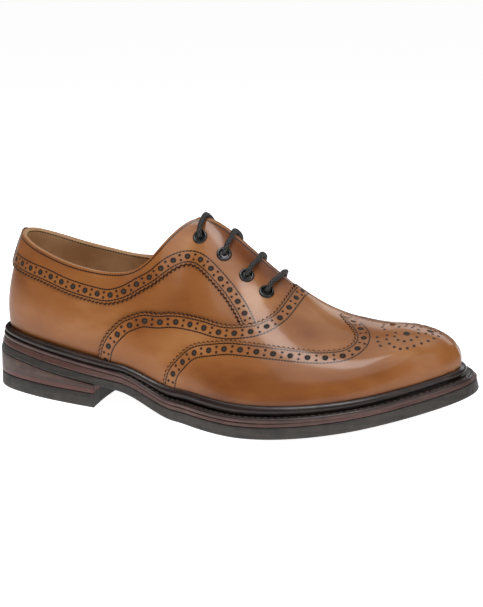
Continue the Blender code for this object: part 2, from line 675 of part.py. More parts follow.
def seat_frame(along, height, reach):
    """A flat seat on the facing: its middle, its normal and the way toward the crest.

    The seat touches the highest spot of the facing within `reach` of the middle.
    """
    step = 1e-3
    by_along = skin(along + step, height) - skin(along - step, height)
    by_height = skin(along, height + step) - skin(along, height - step)
    normal = np.cross(by_along, by_height)
    normal /= np.linalg.norm(normal)
    toward = by_height / np.linalg.norm(by_height)
    wide, high = (2 * step * reach / np.linalg.norm(v) for v in (by_along, by_height))
    turns = np.linspace(0.0, 2 * np.pi, 2 * EYELET_TURNS + 1)[:-1]
    shares = np.repeat([0.0, 0.5, 1.0], len(turns))
    around = np.tile(turns, 3)
    top = layer(GAP + FACING_THICK)
    spots = at_grid(top, along + wide * shares * np.cos(around),
                    np.clip(height + high * shares * np.sin(around), 0.0, 1.0))
    lift = ((spots - spots[0]) @ normal).max()
    return spots[0] + normal * lift, normal, toward


def inner_height(along, height):
    """The height on the inner side that is as far from the facing's edge as on the outer side."""
    heights = np.linspace(1.0, 0.4, 121)
    far = []
    for side in (along, -along):
        line = skin(np.full(len(heights), side), heights)
        far.append(np.append(0.0, np.cumsum(np.linalg.norm(np.diff(line, axis=0), axis=1))))
    wanted = np.interp(1.0 - height, 1.0 - heights, far[0])
    return float(np.interp(wanted, far[1], heights))


def build_eyelet(name, along, height):
    centre, normal, toward = seat_frame(along, height, EYELET_RADIUS)
    centre = centre + normal * GAP
    cross = np.cross(normal, toward)
    profile = [(EYELET_HOLE, 0.0), (EYELET_RADIUS, 0.0), (0.92 * EYELET_RADIUS, 0.6 * EYELET_HEIGHT),
               (0.75 * EYELET_RADIUS, EYELET_HEIGHT), (EYELET_HOLE, 0.55 * EYELET_HEIGHT)]
    turns = np.linspace(0.0, 2 * np.pi, EYELET_TURNS + 1)[:-1]
    rings = []
    for radius, lift in profile:
        ring = centre + normal * lift
        rings.append(ring + radius * (np.cos(turns)[:, None] * toward + np.sin(turns)[:, None] * cross))
    count = len(turns)
    faces = []
    for n in range(len(rings)):
        faces += ring_faces(n * count, ((n + 1) % len(rings)) * count, count)
    add_object(name, np.concatenate(rings), faces, METAL)


def build_lace(name, along, height):
    """One bar of lace from eyelet to eyelet over the closed facings."""
    over_eyelet = GAP + EYELET_HEIGHT + GAP + LACE_RADIUS
    over_facing = GAP + LACE_RADIUS + LACE_LIFT
    sides = []
    for start, rise in ((along, height), (-along, inner_height(along, height))):
        centre, normal, toward = seat_frame(start, rise, EYELET_RADIUS)
        raised_centre = centre + normal * over_eyelet
        line = [raised_centre, raised_centre + toward * EYELET_RADIUS]
        for share, lift in LACE_STEPS:
            spot, normal, _ = seat_frame(start, rise + share * (1.0 - rise), LACE_RADIUS)
            line.append(spot + normal * (over_facing + lift))
        sides.append(line)
    crown = 0.5 * (sides[0][-1] + sides[1][-1])
    edge = layer(GAP + FACING_THICK)
    crest = max(at_grid(edge, np.array([s * along]), np.array([1.0]))[0, 2] for s in (1.0, -1.0))
    crown[2] = max(crown[2], crest + over_facing)
    knots = np.array(sides[0] + [crown] + sides[1][::-1])
    curve = bpy.data.curves.new(name, "CURVE")
    curve.dimensions = "3D"
    curve.bevel_depth = LACE_RADIUS
    curve.bevel_resolution = 2
    curve.use_fill_caps = True
    line = seam_line(knots, LACE_POINTS)
    path = curve.splines.new("POLY")
    path.points.add(len(line) - 1)
    for point, spot in zip(path.points, line):
        point.co = (*spot, 1.0)
    node = bpy.data.objects.new(name, curve)
    bpy.context.collection.objects.link(node)
    curve.materials.append(LACE)


def seam_line(knots, samples):
    """Points along a smooth line through knots in space."""
    at = np.append(0.0, np.cumsum(np.linalg.norm(np.diff(knots, axis=0), axis=1)))
    slope = np.gradient(knots, at, axis=0)
    where = np.linspace(0.0, at[-1], samples)
    i = np.clip(np.searchsorted(at, where, side="right") - 1, 0, len(at) - 2)
    w = (at[i + 1] - at[i])[:, None]
    t = ((where - at[i]) / w[:, 0])[:, None]
    return (knots[i] * (1 + 2 * t) * (1 - t) ** 2 + slope[i] * w * t * (1 - t) ** 2
            + knots[i + 1] * t * t * (3 - 2 * t) + slope[i + 1] * w * t * t * (t - 1))


build_sole()
build_heel()
build_upper()
build_tongue()
for number, (along, height) in enumerate(EYELETS, start=1):
    build_eyelet(f"eyelet_outer_{number}", along, height)
    build_eyelet(f"eyelet_inner_{number}", -along, inner_height(along, height))
    build_lace(f"lace_{number}", along, height)
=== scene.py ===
"""Looks, camera and floor of the brogue shoe, laid out as an add-on and run as a script.

Frame: +X runs to the toe, -Y is the outer side, +Z is up, the floor is z = 0, metres.
"""
import bmesh
import bpy
import numpy as np
from mathutils import Matrix, Vector


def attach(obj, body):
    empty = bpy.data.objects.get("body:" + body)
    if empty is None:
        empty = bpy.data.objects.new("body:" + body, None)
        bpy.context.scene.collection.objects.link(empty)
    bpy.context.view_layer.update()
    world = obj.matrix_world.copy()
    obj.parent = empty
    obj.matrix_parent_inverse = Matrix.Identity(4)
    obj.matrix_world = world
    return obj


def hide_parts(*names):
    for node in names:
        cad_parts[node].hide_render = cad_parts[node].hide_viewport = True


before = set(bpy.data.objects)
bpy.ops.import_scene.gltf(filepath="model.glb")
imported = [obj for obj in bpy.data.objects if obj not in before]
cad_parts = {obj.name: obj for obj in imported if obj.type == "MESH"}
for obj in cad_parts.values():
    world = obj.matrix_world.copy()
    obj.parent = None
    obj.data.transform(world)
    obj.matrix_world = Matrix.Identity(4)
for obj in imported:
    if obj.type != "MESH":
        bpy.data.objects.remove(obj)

bl_info = {
    "name": "Brogue Shoe",
    "version": (1, 0, 0),
    "blender": (4, 5, 0),
    "location": "View3D > Sidebar > Shoe",
    "description": "Builds the leather, stitches, broguing, laces and sole of a brogue shoe",
    "category": "Object",
}

# Sizes in metres
LAST_LENGTH = 0.290
LAST_WIDTH = 0.103
INSTEP_HEIGHT = 0.106
GAP = 0.0003
WALL = 0.0022
PANEL_SINK = 0.0016
FACING_THICK = 0.0009
VAMP_THICK = 0.0010
CAP_THICK = 0.0017
STRAP_THICK = 0.0008

HEEL_HEIGHT = 0.0240
SEAT_FRONT_HEIGHT = 0.0123
TOP_PIECE = 0.0088
RUBBER_AT_HEEL, RUBBER_AT_BALL = 0.0050, 0.0072
MIDSOLE_AT_HEEL, MIDSOLE_AT_BALL = 0.0042, 0.0024
WELT_THICK = 0.0025
LEDGE_AT_HEEL, LEDGE_AT_BALL, LEDGE_AT_TOE = 0.0050, 0.0072, 0.0085
WELT_INSIDE = 0.0095
HEEL_FLARE = 0.0022
LIFT_FLARE, TOP_PIECE_FLARE = 0.0024, 0.0026
TOE_FLARE = 0.0028
BREAST_HOLLOW = 0.0040
INSOLE_THICK = 0.0030

TOE_SPRING = 0.0225
SPRING_CURVE = 1.75
BREAST_X = -0.0675
HEEL_BACK_X = -0.155
SEAT_FRONT_X = BREAST_X + 0.0155
TREAD_BACK_X = -0.0110
TREAD_FRONT_X = 0.026
WAIST_FRONT_X, WAIST_RUN = 0.016, 0.100
TOE_LEDGE_X, TOE_LEDGE_RUN = 0.080, 0.060
HEEL_FLARE_X, HEEL_FLARE_RUN = 0.020, 0.050
TOE_FLARE_X, TOE_FLARE_RUN = 0.100, 0.040

THROAT_ALONG = 0.602
THROAT_CLOSING = 0.024
LEAST_GAP = 0.0016
TONGUE_THICK = 0.0018
TONGUE_FOOT, TONGUE_HEAD = 0.645, 0.492
# Tongue: how far its sides reach down, its highest place on them, its drop under the wall and crown
TONGUE_SIDES, TONGUE_HIGH, TONGUE_DROP, TONGUE_CROWN = 0.28, 0.955, 0.0008, 0.0005
SINK_FROM, SINK_RUN = 0.30, 0.22

EYELET_RADIUS = 0.0044
EYELET_HEIGHT = 0.0009
LACE_RADIUS = 0.00155
BRAID_PITCH, BRAID_STRANDS = 0.0022, 5
# A lace's way out of its eyelet: distance toward the crest, height over the facing
LACE_RISE = [(0.0, -0.0006), (0.0010, 0.0015), (0.0042, 0.0030)]
LACE_SHARE = 0.74

# A row for each rib of the last, heel back to toe tip. x and top x are shares of
# LAST_LENGTH; outer, inner, half gap, crest y, bulge and reach are shares of LAST_WIDTH;
# top z, rise and drop are shares of INSTEP_HEIGHT; fall is the crest's slope.
SECTIONS = [
    # along, x, outer, inner, top x, half gap, crest y, top z, bulge, rise, reach, drop, fall
    (0.00, -0.500, 0.000, 0.000, -0.468, 0.000, 0.000, 0.928, 0.060, 0.210, 0.08, 0.170, 0.00),
    (0.05, -0.486, 0.144, 0.144, -0.455, 0.100, 0.000, 0.912, 0.045, 0.210, 0.05, 0.160, 0.00),
    (0.12, -0.416, 0.256, 0.254, -0.392, 0.198, 0.000, 0.850, 0.044, 0.190, 0.05, 0.150, 0.00),
    (0.22, -0.315, 0.322, 0.292, -0.290, 0.258, 0.005, 0.783, 0.045, 0.180, 0.06, 0.140, 0.00),
    (0.33, -0.196, 0.356, 0.280, -0.200, 0.265, 0.010, 0.765, 0.050, 0.170, 0.07, 0.140, 0.00),
    (0.42, -0.100, 0.370, 0.270, -0.123, 0.195, 0.020, 0.890, 0.060, 0.180, 0.10, 0.150, 0.00),
    (0.48, -0.023, 0.412, 0.285, -0.042, 0.022, 0.026, 1.070, 0.070, 0.200, 0.14, 0.120, 0.00),
    (0.53, 0.025, 0.465, 0.320, 0.065, 0.012, 0.030, 0.905, 0.070, 0.200, 0.20, 0.060, 0.00),
    (0.60, 0.105, 0.528, 0.385, 0.150, 0.008, 0.033, 0.735, 0.060, 0.200, 0.23, 0.035, 0.60),
    (0.67, 0.195, 0.522, 0.435, 0.221, 0.000, 0.035, 0.610, 0.055, 0.200, 0.26, 0.000, 0.48),
    (0.76, 0.288, 0.459, 0.450, 0.300, 0.000, 0.035, 0.550, 0.055, 0.190, 0.26, 0.000, 0.20),
    (0.85, 0.375, 0.335, 0.395, 0.345, 0.000, 0.040, 0.540, 0.055, 0.180, 0.25, 0.000, 0.06),
    (0.93, 0.466, 0.120, 0.260, 0.358, 0.000, 0.043, 0.546, 0.048, 0.172, 0.29, 0.000, 0.02),
    (1.00, 0.500, -0.040, 0.040, 0.361, 0.000, 0.044, 0.545, 0.045, 0.170, 0.29, 0.000, 0.02),
]

# Seams as (along, height) points, sole or heel end first
FACING_SEAM = [
    (0.000, 0.645), (0.070, 0.650), (0.154, 0.686), (0.216, 0.665), (0.270, 0.655),
    (0.313, 0.654), (0.356, 0.703), (0.395, 0.748), (0.430, 0.724), (0.466, 0.697),
    (0.500, 0.650), (0.530, 0.617), (0.566, 0.545),
]
VAMP_SEAM = [
    (0.300, 0.000), (0.302, 0.100), (0.313, 0.292), (0.332, 0.424), (0.360, 0.536),
    (0.393, 0.574), (0.439, 0.508), (0.481, 0.460), (0.523, 0.485), (0.566, 0.535),
    (0.596, 0.597), (0.610, 0.680), (0.613, 0.800), (0.611, 0.900), (0.608, 1.000),
]
CAP_SEAM = [
    (0.440, 0.000), (0.442, 0.120), (0.452, 0.222), (0.477, 0.298), (0.521, 0.381),
    (0.560, 0.440), (0.609, 0.476), (0.669, 0.515), (0.730, 0.552), (0.762, 0.592),
    (0.777, 0.665), (0.773, 0.745), (0.752, 0.830), (0.724, 0.915), (0.704, 1.000),
]
# Back strap: half its width along the top edge, the share of it that shows, its foot's height and
# the height over which the foot thins
STRAP_HALF_ALONG, STRAP_SHOWN = 0.020, 0.8
STRAP_FOOT, STRAP_THINS = 0.62, 0.012

# Eyelets, top of the facing first: (along, height)
EYELETS = [(0.480, 0.840), (0.510, 0.812), (0.541, 0.800), (0.580, 0.786)]

# Lifts of the panels' outer faces over the wall
VAMP_RISE = 0.0004
FACING_LIFT = GAP + FACING_THICK
VAMP_LIFT = GAP + VAMP_THICK + VAMP_RISE
CAP_LIFT = GAP + CAP_THICK
STRAP_LIFT = FACING_LIFT + GAP + STRAP_THICK
# How far the vamp runs under the cap, the band from the cut, and the teeth into the band
UNDERLAP, BAND_END, TOOTH_REACH = 0.0025, 0.0104, 0.0013
# Longest step of a row marched off its seam
MARCH_STEP = 0.0009
# Band map's distance on the cut itself, and on leather beyond the band
EDGE_BACK, PLAIN_FAR = -0.0006, 0.05
# Rows of a panel beyond its band, and the uppermost of them that the rim map measures
BODY_ROWS, RIM_ROWS = 19, 14
# Hole pitches of the facing and the cap, as shares of the vamp's
FACING_PITCH, CAP_PITCH = 0.91, 1.02
# Rolled top edge: drop in thickness, rise of its middle and of its end
ROLL_DEPTH, ROLL_CREST, ROLL_END = 0.0007, 0.00035, 0.00025
# Lining: its edge's lift over the wall and the height of its roll
LINING_LIFT, LINING_ROLL = 0.0006, 0.0008
# Lining, in millimetres under the edge: its stitch row, one stitch, and where the dark rim fades
LINING_ROW, LINING_STITCH, LINING_FADE = 4.2, 1.9, (3.4, 2.2)
# A cut edge: distance in from the cut, share of the panel's thickness
EDGE_ROWS = [(0.0, -0.15), (0.0, 0.35), (0.00006, 0.80), (0.00022, 0.96), (0.0005, 1.0)]
BAND_ROWS = [0.0009, 0.0014, 0.0019, 0.0026, 0.0034, 0.0043, 0.0052, 0.0061, 0.0070, 0.0078, 0.0086,
             0.0094, BAND_END]
# Welt, bead: share of the way down from its top, width over the leather
BEAD_ROWS = [(-0.02, -0.0016), (0.00, -0.0002), (0.02, 0.0009), (0.10, 0.0019), (0.24, 0.0027),
             (0.42, 0.0032), (0.60, 0.0032), (0.76, 0.0027), (0.88, 0.0019)]
# Bead's height as a share of the rib, how much lower it is at the heel's back and over what reach
BEAD_TOP, BEAD_CALM, CALM_REACH = 0.088, 0.42, 0.11
GROOVE_OUT = 0.0017
# Welt, ledge: distance in from the edge, height over the welt's top
LEDGE_ROWS = [(0.0024, 0.0006), (0.0016, 0.0004), (0.0007, 0.0002), (0.0002, -0.0001), (0.0, -0.0006),
              (0.0, -WELT_THICK + 0.0004), (0.0003, -WELT_THICK + 0.0001)]
# Welt, stitches: distance in from the edge, share of a stitch that shows, half its height, its spread
STITCH_INSET, STITCH_SHOWN, STITCH_GIRTH, STITCH_SPREAD = 0.0019, 0.74, 0.00052, 1.15
# A rounded edge of a sole layer: shares of the rounding, inward and up
ROUND_STEPS = [(1.0, 0.0), (0.3, 0.25), (0.0, 1.0)]

# Heel leather: heights of the strip over the top piece and of the line over the strip
STRIP_HIGH, LINE_HIGH = 0.0032, 0.0004

# Materials measure in millimetres
MM = 1000.0
# Colours of leather, thread, rubber and metal, linear
# Tan: its own colour, a darker burnish, and a lighter tone that also gives the painted highlights
TAN, TAN_DARK, TAN_LIGHT = (0.365, 0.131, 0.036, 1), (0.205, 0.058, 0.014, 1), (0.500, 0.220, 0.080, 1)
# Holes: the dark brown cut rim, then painted shade down the hole's wall and on the leather that shows through
# it
HOLE_RIM, HOLE_WALL_SHADE, HOLE_FLOOR_SHADE = (0.060, 0.019, 0.008, 1), (0.014, 0.010, 0.008, 1), (0.055, 0.044, 0.036, 1)
# Thread, and the dyed cut edge with a painted shadow line along it
THREAD, CUT_EDGE_AND_SHADOW = (0.014, 0.006, 0.004, 1), (0.026, 0.010, 0.006, 1)
# Toe ornament: painted shade in each hole, and the tan it fades to at the rim
PUNCHED_SHADE, PUNCHED_RIM = (0.018, 0.015, 0.013, 1), (0.215, 0.066, 0.018, 1)
LINING, LINING_DARK, LINING_RIM = (0.86, 0.56, 0.31, 1), (0.70, 0.42, 0.21, 1), (0.50, 0.265, 0.120, 1)
LINING_THREAD = (0.10, 0.045, 0.02, 1)
STRAP, STRAP_DARK = (0.10, 0.034, 0.014, 1), (0.05, 0.018, 0.010, 1)
TONGUE, TONGUE_DARK = (0.40, 0.150, 0.045, 1), (0.27, 0.082, 0.02, 1)
INSOLE, INSOLE_DARK = (0.36, 0.20, 0.095, 1), (0.27, 0.135, 0.055, 1)
WELT, WELT_DARK, WELT_SIDE = (0.040, 0.025, 0.021, 1), (0.016, 0.010, 0.009, 1), (0.110, 0.050, 0.040, 1)
WELT_THREAD, WELT_THREAD_DARK = (0.060, 0.040, 0.030, 1), (0.025, 0.018, 0.014, 1)
RUBBER, RUBBER_DARK = (0.062, 0.052, 0.045, 1), (0.036, 0.032, 0.029, 1)
MIDSOLE, MIDSOLE_DARK = (0.135, 0.060, 0.048, 1), (0.078, 0.037, 0.031, 1)
HEEL, HEEL_DARK = (0.125, 0.070, 0.054, 1), (0.070, 0.041, 0.034, 1)
HEEL_STRIP, HEEL_LINE = (0.125, 0.042, 0.032, 1), (0.035, 0.02, 0.018, 1)
LACE_DARK, LACE_LIGHT = (0.012, 0.012, 0.012, 1), (0.062, 0.060, 0.056, 1)
METAL_DARK, METAL_LIGHT = (0.028, 0.028, 0.030, 1), (0.060, 0.060, 0.064, 1)


def smooth(t):
    """3t^2 - 2t^3 between 0 and 1."""
    t = np.clip(t, 0.0, 1.0)
    return t * t * (3.0 - 2.0 * t)


def cubic(first, last, leave, arrive, width, t):
    """The cubic between two rows, with their slopes, at the shares t of its width."""
    return (first * (1 + 2 * t) * (1 - t) ** 2 + leave * width * t * (1 - t) ** 2
            + last * t * t * (3 - 2 * t) + arrive * width * t * t * (t - 1))


def curve_through(knots, rows, at):
    """The cubic curve through rows that lie at the knots, read at the places in at."""
    slope = np.gradient(rows, knots, axis=0)
    i = np.clip(np.searchsorted(knots, at, side="right") - 1, 0, len(knots) - 2)
    width = (knots[i + 1] - knots[i])[:, None]
    t = ((at - knots[i]) / width[:, 0])[:, None]
    return cubic(rows[i], rows[i + 1], slope[i], slope[i + 1], width, t)


def ring_run(points):
    """Length walked along a line of points."""
    return np.append(0.0, np.cumsum(np.linalg.norm(np.diff(points, axis=0), axis=1)))


def heel_to_ball(x, at_heel, at_ball):
    """A size that runs from its value at the heel to its value at the ball."""
    return at_ball + (at_heel - at_ball) * smooth((WAIST_FRONT_X - x) / WAIST_RUN)


def sole_bottom(x):
    """Height of the rubber sole's underside: pitched heel seat, waist, flat tread and toe spring."""
    pitch = (HEEL_HEIGHT - SEAT_FRONT_HEIGHT) / (SEAT_FRONT_X - HEEL_BACK_X)
    seat = SEAT_FRONT_HEIGHT + pitch * (SEAT_FRONT_X - x)
    waist_run = TREAD_BACK_X - SEAT_FRONT_X
    t = np.clip((x - SEAT_FRONT_X) / waist_run, 0.0, 1.0)
    waist = (1 - t) ** 2 * (SEAT_FRONT_HEIGHT * (1 + 2 * t) - pitch * waist_run * t)
    run = np.clip(x - TREAD_FRONT_X, 0.0, None) / (0.5 * LAST_LENGTH + LEDGE_AT_TOE - TREAD_FRONT_X)
    return np.where(x < SEAT_FRONT_X, seat, waist) + TOE_SPRING * run ** SPRING_CURVE


def rubber_top(x):
    """Height of the rubber sole's upper face."""
    return sole_bottom(x) + heel_to_ball(x, RUBBER_AT_HEEL, RUBBER_AT_BALL)


def midsole_top(x):
    """Height of the midsole's upper face."""
    return rubber_top(x) + heel_to_ball(x, MIDSOLE_AT_HEEL, MIDSOLE_AT_BALL)


def welt_top(x):
    """Height of the welt's ledge."""
    return midsole_top(x) + WELT_THICK


def ledge(x):
    """How far the welt stands out from the last."""
    return (heel_to_ball(x, LEDGE_AT_HEEL, LEDGE_AT_BALL)
            + (LEDGE_AT_TOE - LEDGE_AT_BALL) * smooth((x - TOE_LEDGE_X) / TOE_LEDGE_RUN))


def flare(x):
    """How far the foot of the sole's edge leans out at heel and toe."""
    at_heel = smooth((BREAST_X + HEEL_FLARE_X - x) / HEEL_FLARE_RUN)
    return HEEL_FLARE * at_heel + TOE_FLARE * smooth((x - TOE_FLARE_X) / TOE_FLARE_RUN)


def panel_sink(along):
    """How far the upper's wall is set back where the vamp and cap lie over it."""
    return PANEL_SINK * smooth((np.abs(along) - SINK_FROM) / SINK_RUN)


def section_knots():
    """The rows of both sides in one ring: knots, and columns in metres."""
    rows = np.array(SECTIONS)
    scale = np.array([LAST_LENGTH, LAST_WIDTH, LAST_WIDTH, LAST_LENGTH, LAST_WIDTH, LAST_WIDTH,
                      INSTEP_HEIGHT, LAST_WIDTH, INSTEP_HEIGHT, LAST_WIDTH, INSTEP_HEIGHT, 1.0])
    rows[:, 1:] *= scale
    inner = rows[:0:-1].copy()
    outer = rows[:-1].copy()
    inner[:, 0] *= -1.0
    inner[:, 2] = inner[:, 3]
    outer[:, 2] *= -1.0
    ring = np.delete(np.concatenate([inner, outer]), 3, axis=1)
    return ring[:, 0], ring[:, 1:]


def ring_slopes(knots, values):
    """Slopes of the smooth closed cubic through the rows; the half gap never overshoots."""
    count = len(knots)
    width = np.diff(np.append(knots, knots[0] + 2.0))
    rise = (np.roll(values, -1, 0) - values) / width[:, None]
    before = np.roll(width, 1)
    system = np.zeros((count, count))
    for i in range(count):
        system[i, i - 1] += width[i]
        system[i, i] += 2.0 * (before[i] + width[i])
        system[i, (i + 1) % count] += before[i]
    slopes = np.linalg.solve(
        system, 3.0 * (width[:, None] * np.roll(rise, 1, 0) + before[:, None] * rise))
    gap = rise[:, GAP_COLUMN]
    last = np.roll(gap, 1)
    total = np.where(gap + last == 0.0, 1.0, gap + last)
    slopes[:, GAP_COLUMN] = np.where(gap * last > 0.0, 2.0 * gap * last / total, 0.0)
    return slopes


GAP_COLUMN = 3
KNOTS, ROW_VALUES = section_knots()
ROW_SLOPES = ring_slopes(KNOTS, ROW_VALUES)


def columns(along):
    """The section columns at any place round the last."""
    width = np.diff(np.append(KNOTS, KNOTS[0] + 2.0))
    run = (np.asarray(along, float) - KNOTS[0]) % 2.0
    i = np.clip(np.searchsorted(KNOTS - KNOTS[0], run, side="right") - 1, 0, len(KNOTS) - 1)
    j = (i + 1) % len(KNOTS)
    t = ((run - (KNOTS[i] - KNOTS[0])) / width[i])[..., None]
    return cubic(ROW_VALUES[i], ROW_VALUES[j], ROW_SLOPES[i], ROW_SLOPES[j], width[i][..., None], t)


def rib_controls(along):
    """The four points that shape each rib: sole, swell, shoulder and top."""
    along = np.asarray(along, float)
    c = columns(along)
    step = 1e-4
    run = (columns(along + step) - columns(along - step))[..., :2]
    out = np.stack([run[..., 1], -run[..., 0]], -1)
    out = out / np.linalg.norm(out, axis=-1, keepdims=True)
    turn = (along + 1.0) % 2.0 - 1.0
    side = np.where(turn >= 0.0, -1.0, 1.0)
    is_open = (np.abs(turn) < THROAT_ALONG) & (np.abs(turn) > 1e-9)
    closing = smooth((THROAT_ALONG - np.abs(turn)) / THROAT_CLOSING)
    half = np.where(is_open, np.maximum(c[..., 3], LEAST_GAP / 2) * closing, 0.0)
    foot = np.stack([c[..., 0], c[..., 1], welt_top(c[..., 0]) + GAP], -1)
    top = np.stack([c[..., 2], c[..., 4] + side * half, c[..., 5]], -1)
    swell = foot.copy()
    swell[..., :2] += out * c[..., 6:7]
    swell[..., 2] += c[..., 7]
    away = foot[..., :2] - top[..., :2]
    away = away / (np.linalg.norm(away, axis=-1, keepdims=True) + 1e-9)
    shoulder = top.copy()
    shoulder[..., :2] += away * c[..., 8:9]
    shoulder[..., 2] -= c[..., 9] + c[..., 10] * away[..., 0] * c[..., 8]
    return foot, swell, shoulder, top


def skin(along, height):
    """Point on the finished upper: foot(1-h)^3 + 3 swell h(1-h)^2 + 3 shoulder h^2(1-h) + top h^3."""
    along, height = np.broadcast_arrays(np.asarray(along, float), np.asarray(height, float))
    foot, swell, shoulder, top = rib_controls(along)
    h = height[..., None]
    return (foot * (1 - h) ** 3 + 3 * swell * h * (1 - h) ** 2
            + 3 * shoulder * h * h * (1 - h) + top * h ** 3)


def around(a, h):
    """The skin read round the whole last: `a` from -1 (inner toe) through the heel to 1."""
    return skin(a, h)


def over(a, t):
    """The skin read over the crest: `t` is height on the outer side to 1, then down the inner side to 2."""
    side = np.where(t > 1.0, -1.0, 1.0)
    return skin(side * a, np.where(t > 1.0, 2.0 - t, t))


def slopes(place, a, h):
    """The surface's two run vectors per unit of each parameter."""
    step = 1e-4
    top = 1.0 if place is around else 2.0
    low, high = np.clip(h - step, 0.0, top), np.clip(h + step, 0.0, top)
    by_a = (place(a + step, h) - place(a - step, h)) / (2 * step)
    by_h = (place(a, high) - place(a, low)) / (high - low)[..., None]
    return by_a, by_h


def unit(v):
    """Vectors of length 1."""
    return v / (np.linalg.norm(v, axis=-1, keepdims=True) + 1e-12)


def lifted(place, a, h, lift):
    """Surface point plus its unit normal times (lift less the wall's set-back)."""
    a, h, lift = np.broadcast_arrays(a, h, lift)
    by_a, by_h = slopes(place, a, h)
    normal = unit(np.cross(by_a, by_h))
    level = np.abs((a + 1.0) % 2.0 - 1.0)
    return place(a, h) + normal * (lift - panel_sink(level))[..., None]


def leftward(place, curve):
    """Parameter step per metre to the left of a curve's run over the surface."""
    by_a, by_h = slopes(place, curve[:, 0], curve[:, 1])
    run = np.gradient(curve, axis=0)
    ahead = unit(by_a * run[:, :1] + by_h * run[:, 1:])
    left = np.cross(unit(np.cross(by_a, by_h)), ahead)
    g11, g12, g22 = (by_a ** 2).sum(1), (by_a * by_h).sum(1), (by_h ** 2).sum(1)
    r1, r2 = (by_a * left).sum(1), (by_h * left).sum(1)
    det = g11 * g22 - g12 * g12
    return np.stack([(g22 * r1 - g12 * r2) / det, (g11 * r2 - g12 * r1) / det], 1)


def smooth_rows(rows, samples):
    """Cubic curve through hand-placed rows."""
    rows = np.array(rows, float)
    knots = ring_run(rows * np.array([LAST_LENGTH, LAST_WIDTH]))
    return curve_through(knots, rows, np.linspace(0.0, knots[-1], samples))


def even_seam(place, rows, step):
    """The seam with points a real `step` apart on the surface, and their run from the middle."""
    fine = smooth_rows(rows, 3000)
    run = ring_run(place(fine[:, 0], fine[:, 1]))
    count = int(round(run[-1] / step)) + 1
    at = np.linspace(0.0, run[-1], count)
    seam = np.stack([np.interp(at, run, fine[:, k]) for k in (0, 1)], 1)
    return seam, at - run[-1] / 2


def band_rows(place, seam, distances, side, top):
    """Rows of the seam moved in by real distances, each marched from the one before."""
    row, rows, lefts = seam.copy(), [], []
    last = 0.0
    for distance in distances:
        hops = max(1, int(np.ceil(abs(distance - last) / MARCH_STEP)))
        for _ in range(hops):
            row = row + leftward(place, row) * side * (distance - last) / hops
            row[:, 1] = np.clip(row[:, 1], 0.0, top)
            row = tame(row, seam)
        last = distance
        rows.append(row.copy())
        lefts.append(leftward(place, row) * side)
    return np.array(rows), np.array(lefts)


def tame(row, seam):
    """Evens a moved row a little, with its ends kept on the seam's end lines."""
    kept = row.copy()
    row[1:-1] = 0.25 * kept[:-2] + 0.5 * kept[1:-1] + 0.25 * kept[2:]
    row[0, 1], row[-1, 1] = seam[0, 1], seam[-1, 1]
    return row


def grid_faces(*shape):
    """Four-sided faces of a grid of points, or of a stack of such grids."""
    number = np.arange(np.prod(shape)).reshape(shape)
    corners = [number[..., :-1, :-1], number[..., 1:, :-1], number[..., 1:, 1:], number[..., :-1, 1:]]
    return np.stack(corners, -1).reshape(-1, 4)


def hoop(turns, one, two):
    """Points at the given turns of a circle through the directions one and two."""
    return np.cos(turns)[:, None] * one + np.sin(turns)[:, None] * two


def mesh_piece(name, points, shade, band=None, rim=None, tone=None, flip=False):
    """A smooth grid mesh from an (n, m, 3) array, welded where points meet."""
    quads = grid_faces(*points.shape[:2])
    if flip:
        quads = quads[:, ::-1]
    return raw_piece(name, points.reshape(-1, 3), quads, shade, band, rim, tone)


def raw_piece(name, points, faces, shade, band=None, rim=None, tone=None):
    """A mesh object from points and faces, with its maps per point."""
    mesh = bpy.data.meshes.new(name)
    mesh.from_pydata(points, [], faces)
    corner = np.zeros(len(mesh.loops), int)
    mesh.loops.foreach_get("vertex_index", corner)
    for label, values in (("band", band), ("rim", rim)):
        layer = mesh.uv_layers.new(name=label)
        flat = np.ones((len(points), 2)) if values is None else np.asarray(values).reshape(-1, 2)
        layer.data.foreach_set("uv", flat[corner].astype(np.float32).ravel())
    shade_values = mesh.attributes.new("tone", "FLOAT", "POINT")
    flat = np.zeros(len(points)) if tone is None else np.asarray(tone, float).ravel()
    shade_values.data.foreach_set("value", flat.astype(np.float32))
    work = bmesh.new()
    work.from_mesh(mesh)
    bmesh.ops.remove_doubles(work, verts=work.verts, dist=2e-6)
    bmesh.ops.dissolve_degenerate(work, dist=1e-6, edges=work.edges)
    loose = [v for v in work.verts if not v.link_faces]
    bmesh.ops.delete(work, geom=loose, context="VERTS")
    for face in work.faces:
        face.smooth = True
    work.to_mesh(mesh)
    work.free()
    mesh.materials.append(shade)
    piece = bpy.data.objects.new("look_" + name.lower().replace(" ", "_"), mesh)
    bpy.context.scene.collection.objects.link(piece)
    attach(piece, "root")
    return piece


def outward_plan(a):
    """Plan direction square to the last's foot outline."""
    run = rib_controls(a + 1e-3)[0][..., :2] - rib_controls(a - 1e-3)[0][..., :2]
    return unit(np.stack([run[..., 1], -run[..., 0]], -1))


def ring_places(count, crowd=0.5):
    """Places round the last, crowded at heel and toe, first and last the same place."""
    u = np.linspace(0.0, 1.0, count + 1)
    one_side = u - crowd * np.sin(2 * np.pi * u) / (2 * np.pi)
    return np.concatenate([-one_side[:0:-1], one_side])


def facing_top(a, h):
    """Place, normal and way to the crest on the facing's top face."""
    a, h = np.array([a], float), np.array([h], float)
    by_a, by_h = slopes(around, a, h)
    normal, toward = unit(np.cross(by_a, by_h))[0], unit(by_h)[0]
    return lifted(around, a, h, FACING_LIFT)[0], normal, toward


def inner_height(along, height):
    """The height on the inner side that is as far from the facing's edge as on the outer side."""
    heights = np.linspace(1.0, 0.4, 121)
    far = [ring_run(skin(np.full(len(heights), side), heights)) for side in (along, -along)]
    wanted = np.interp(1.0 - height, 1.0 - heights, far[0])
    return float(np.interp(wanted, far[1], heights))


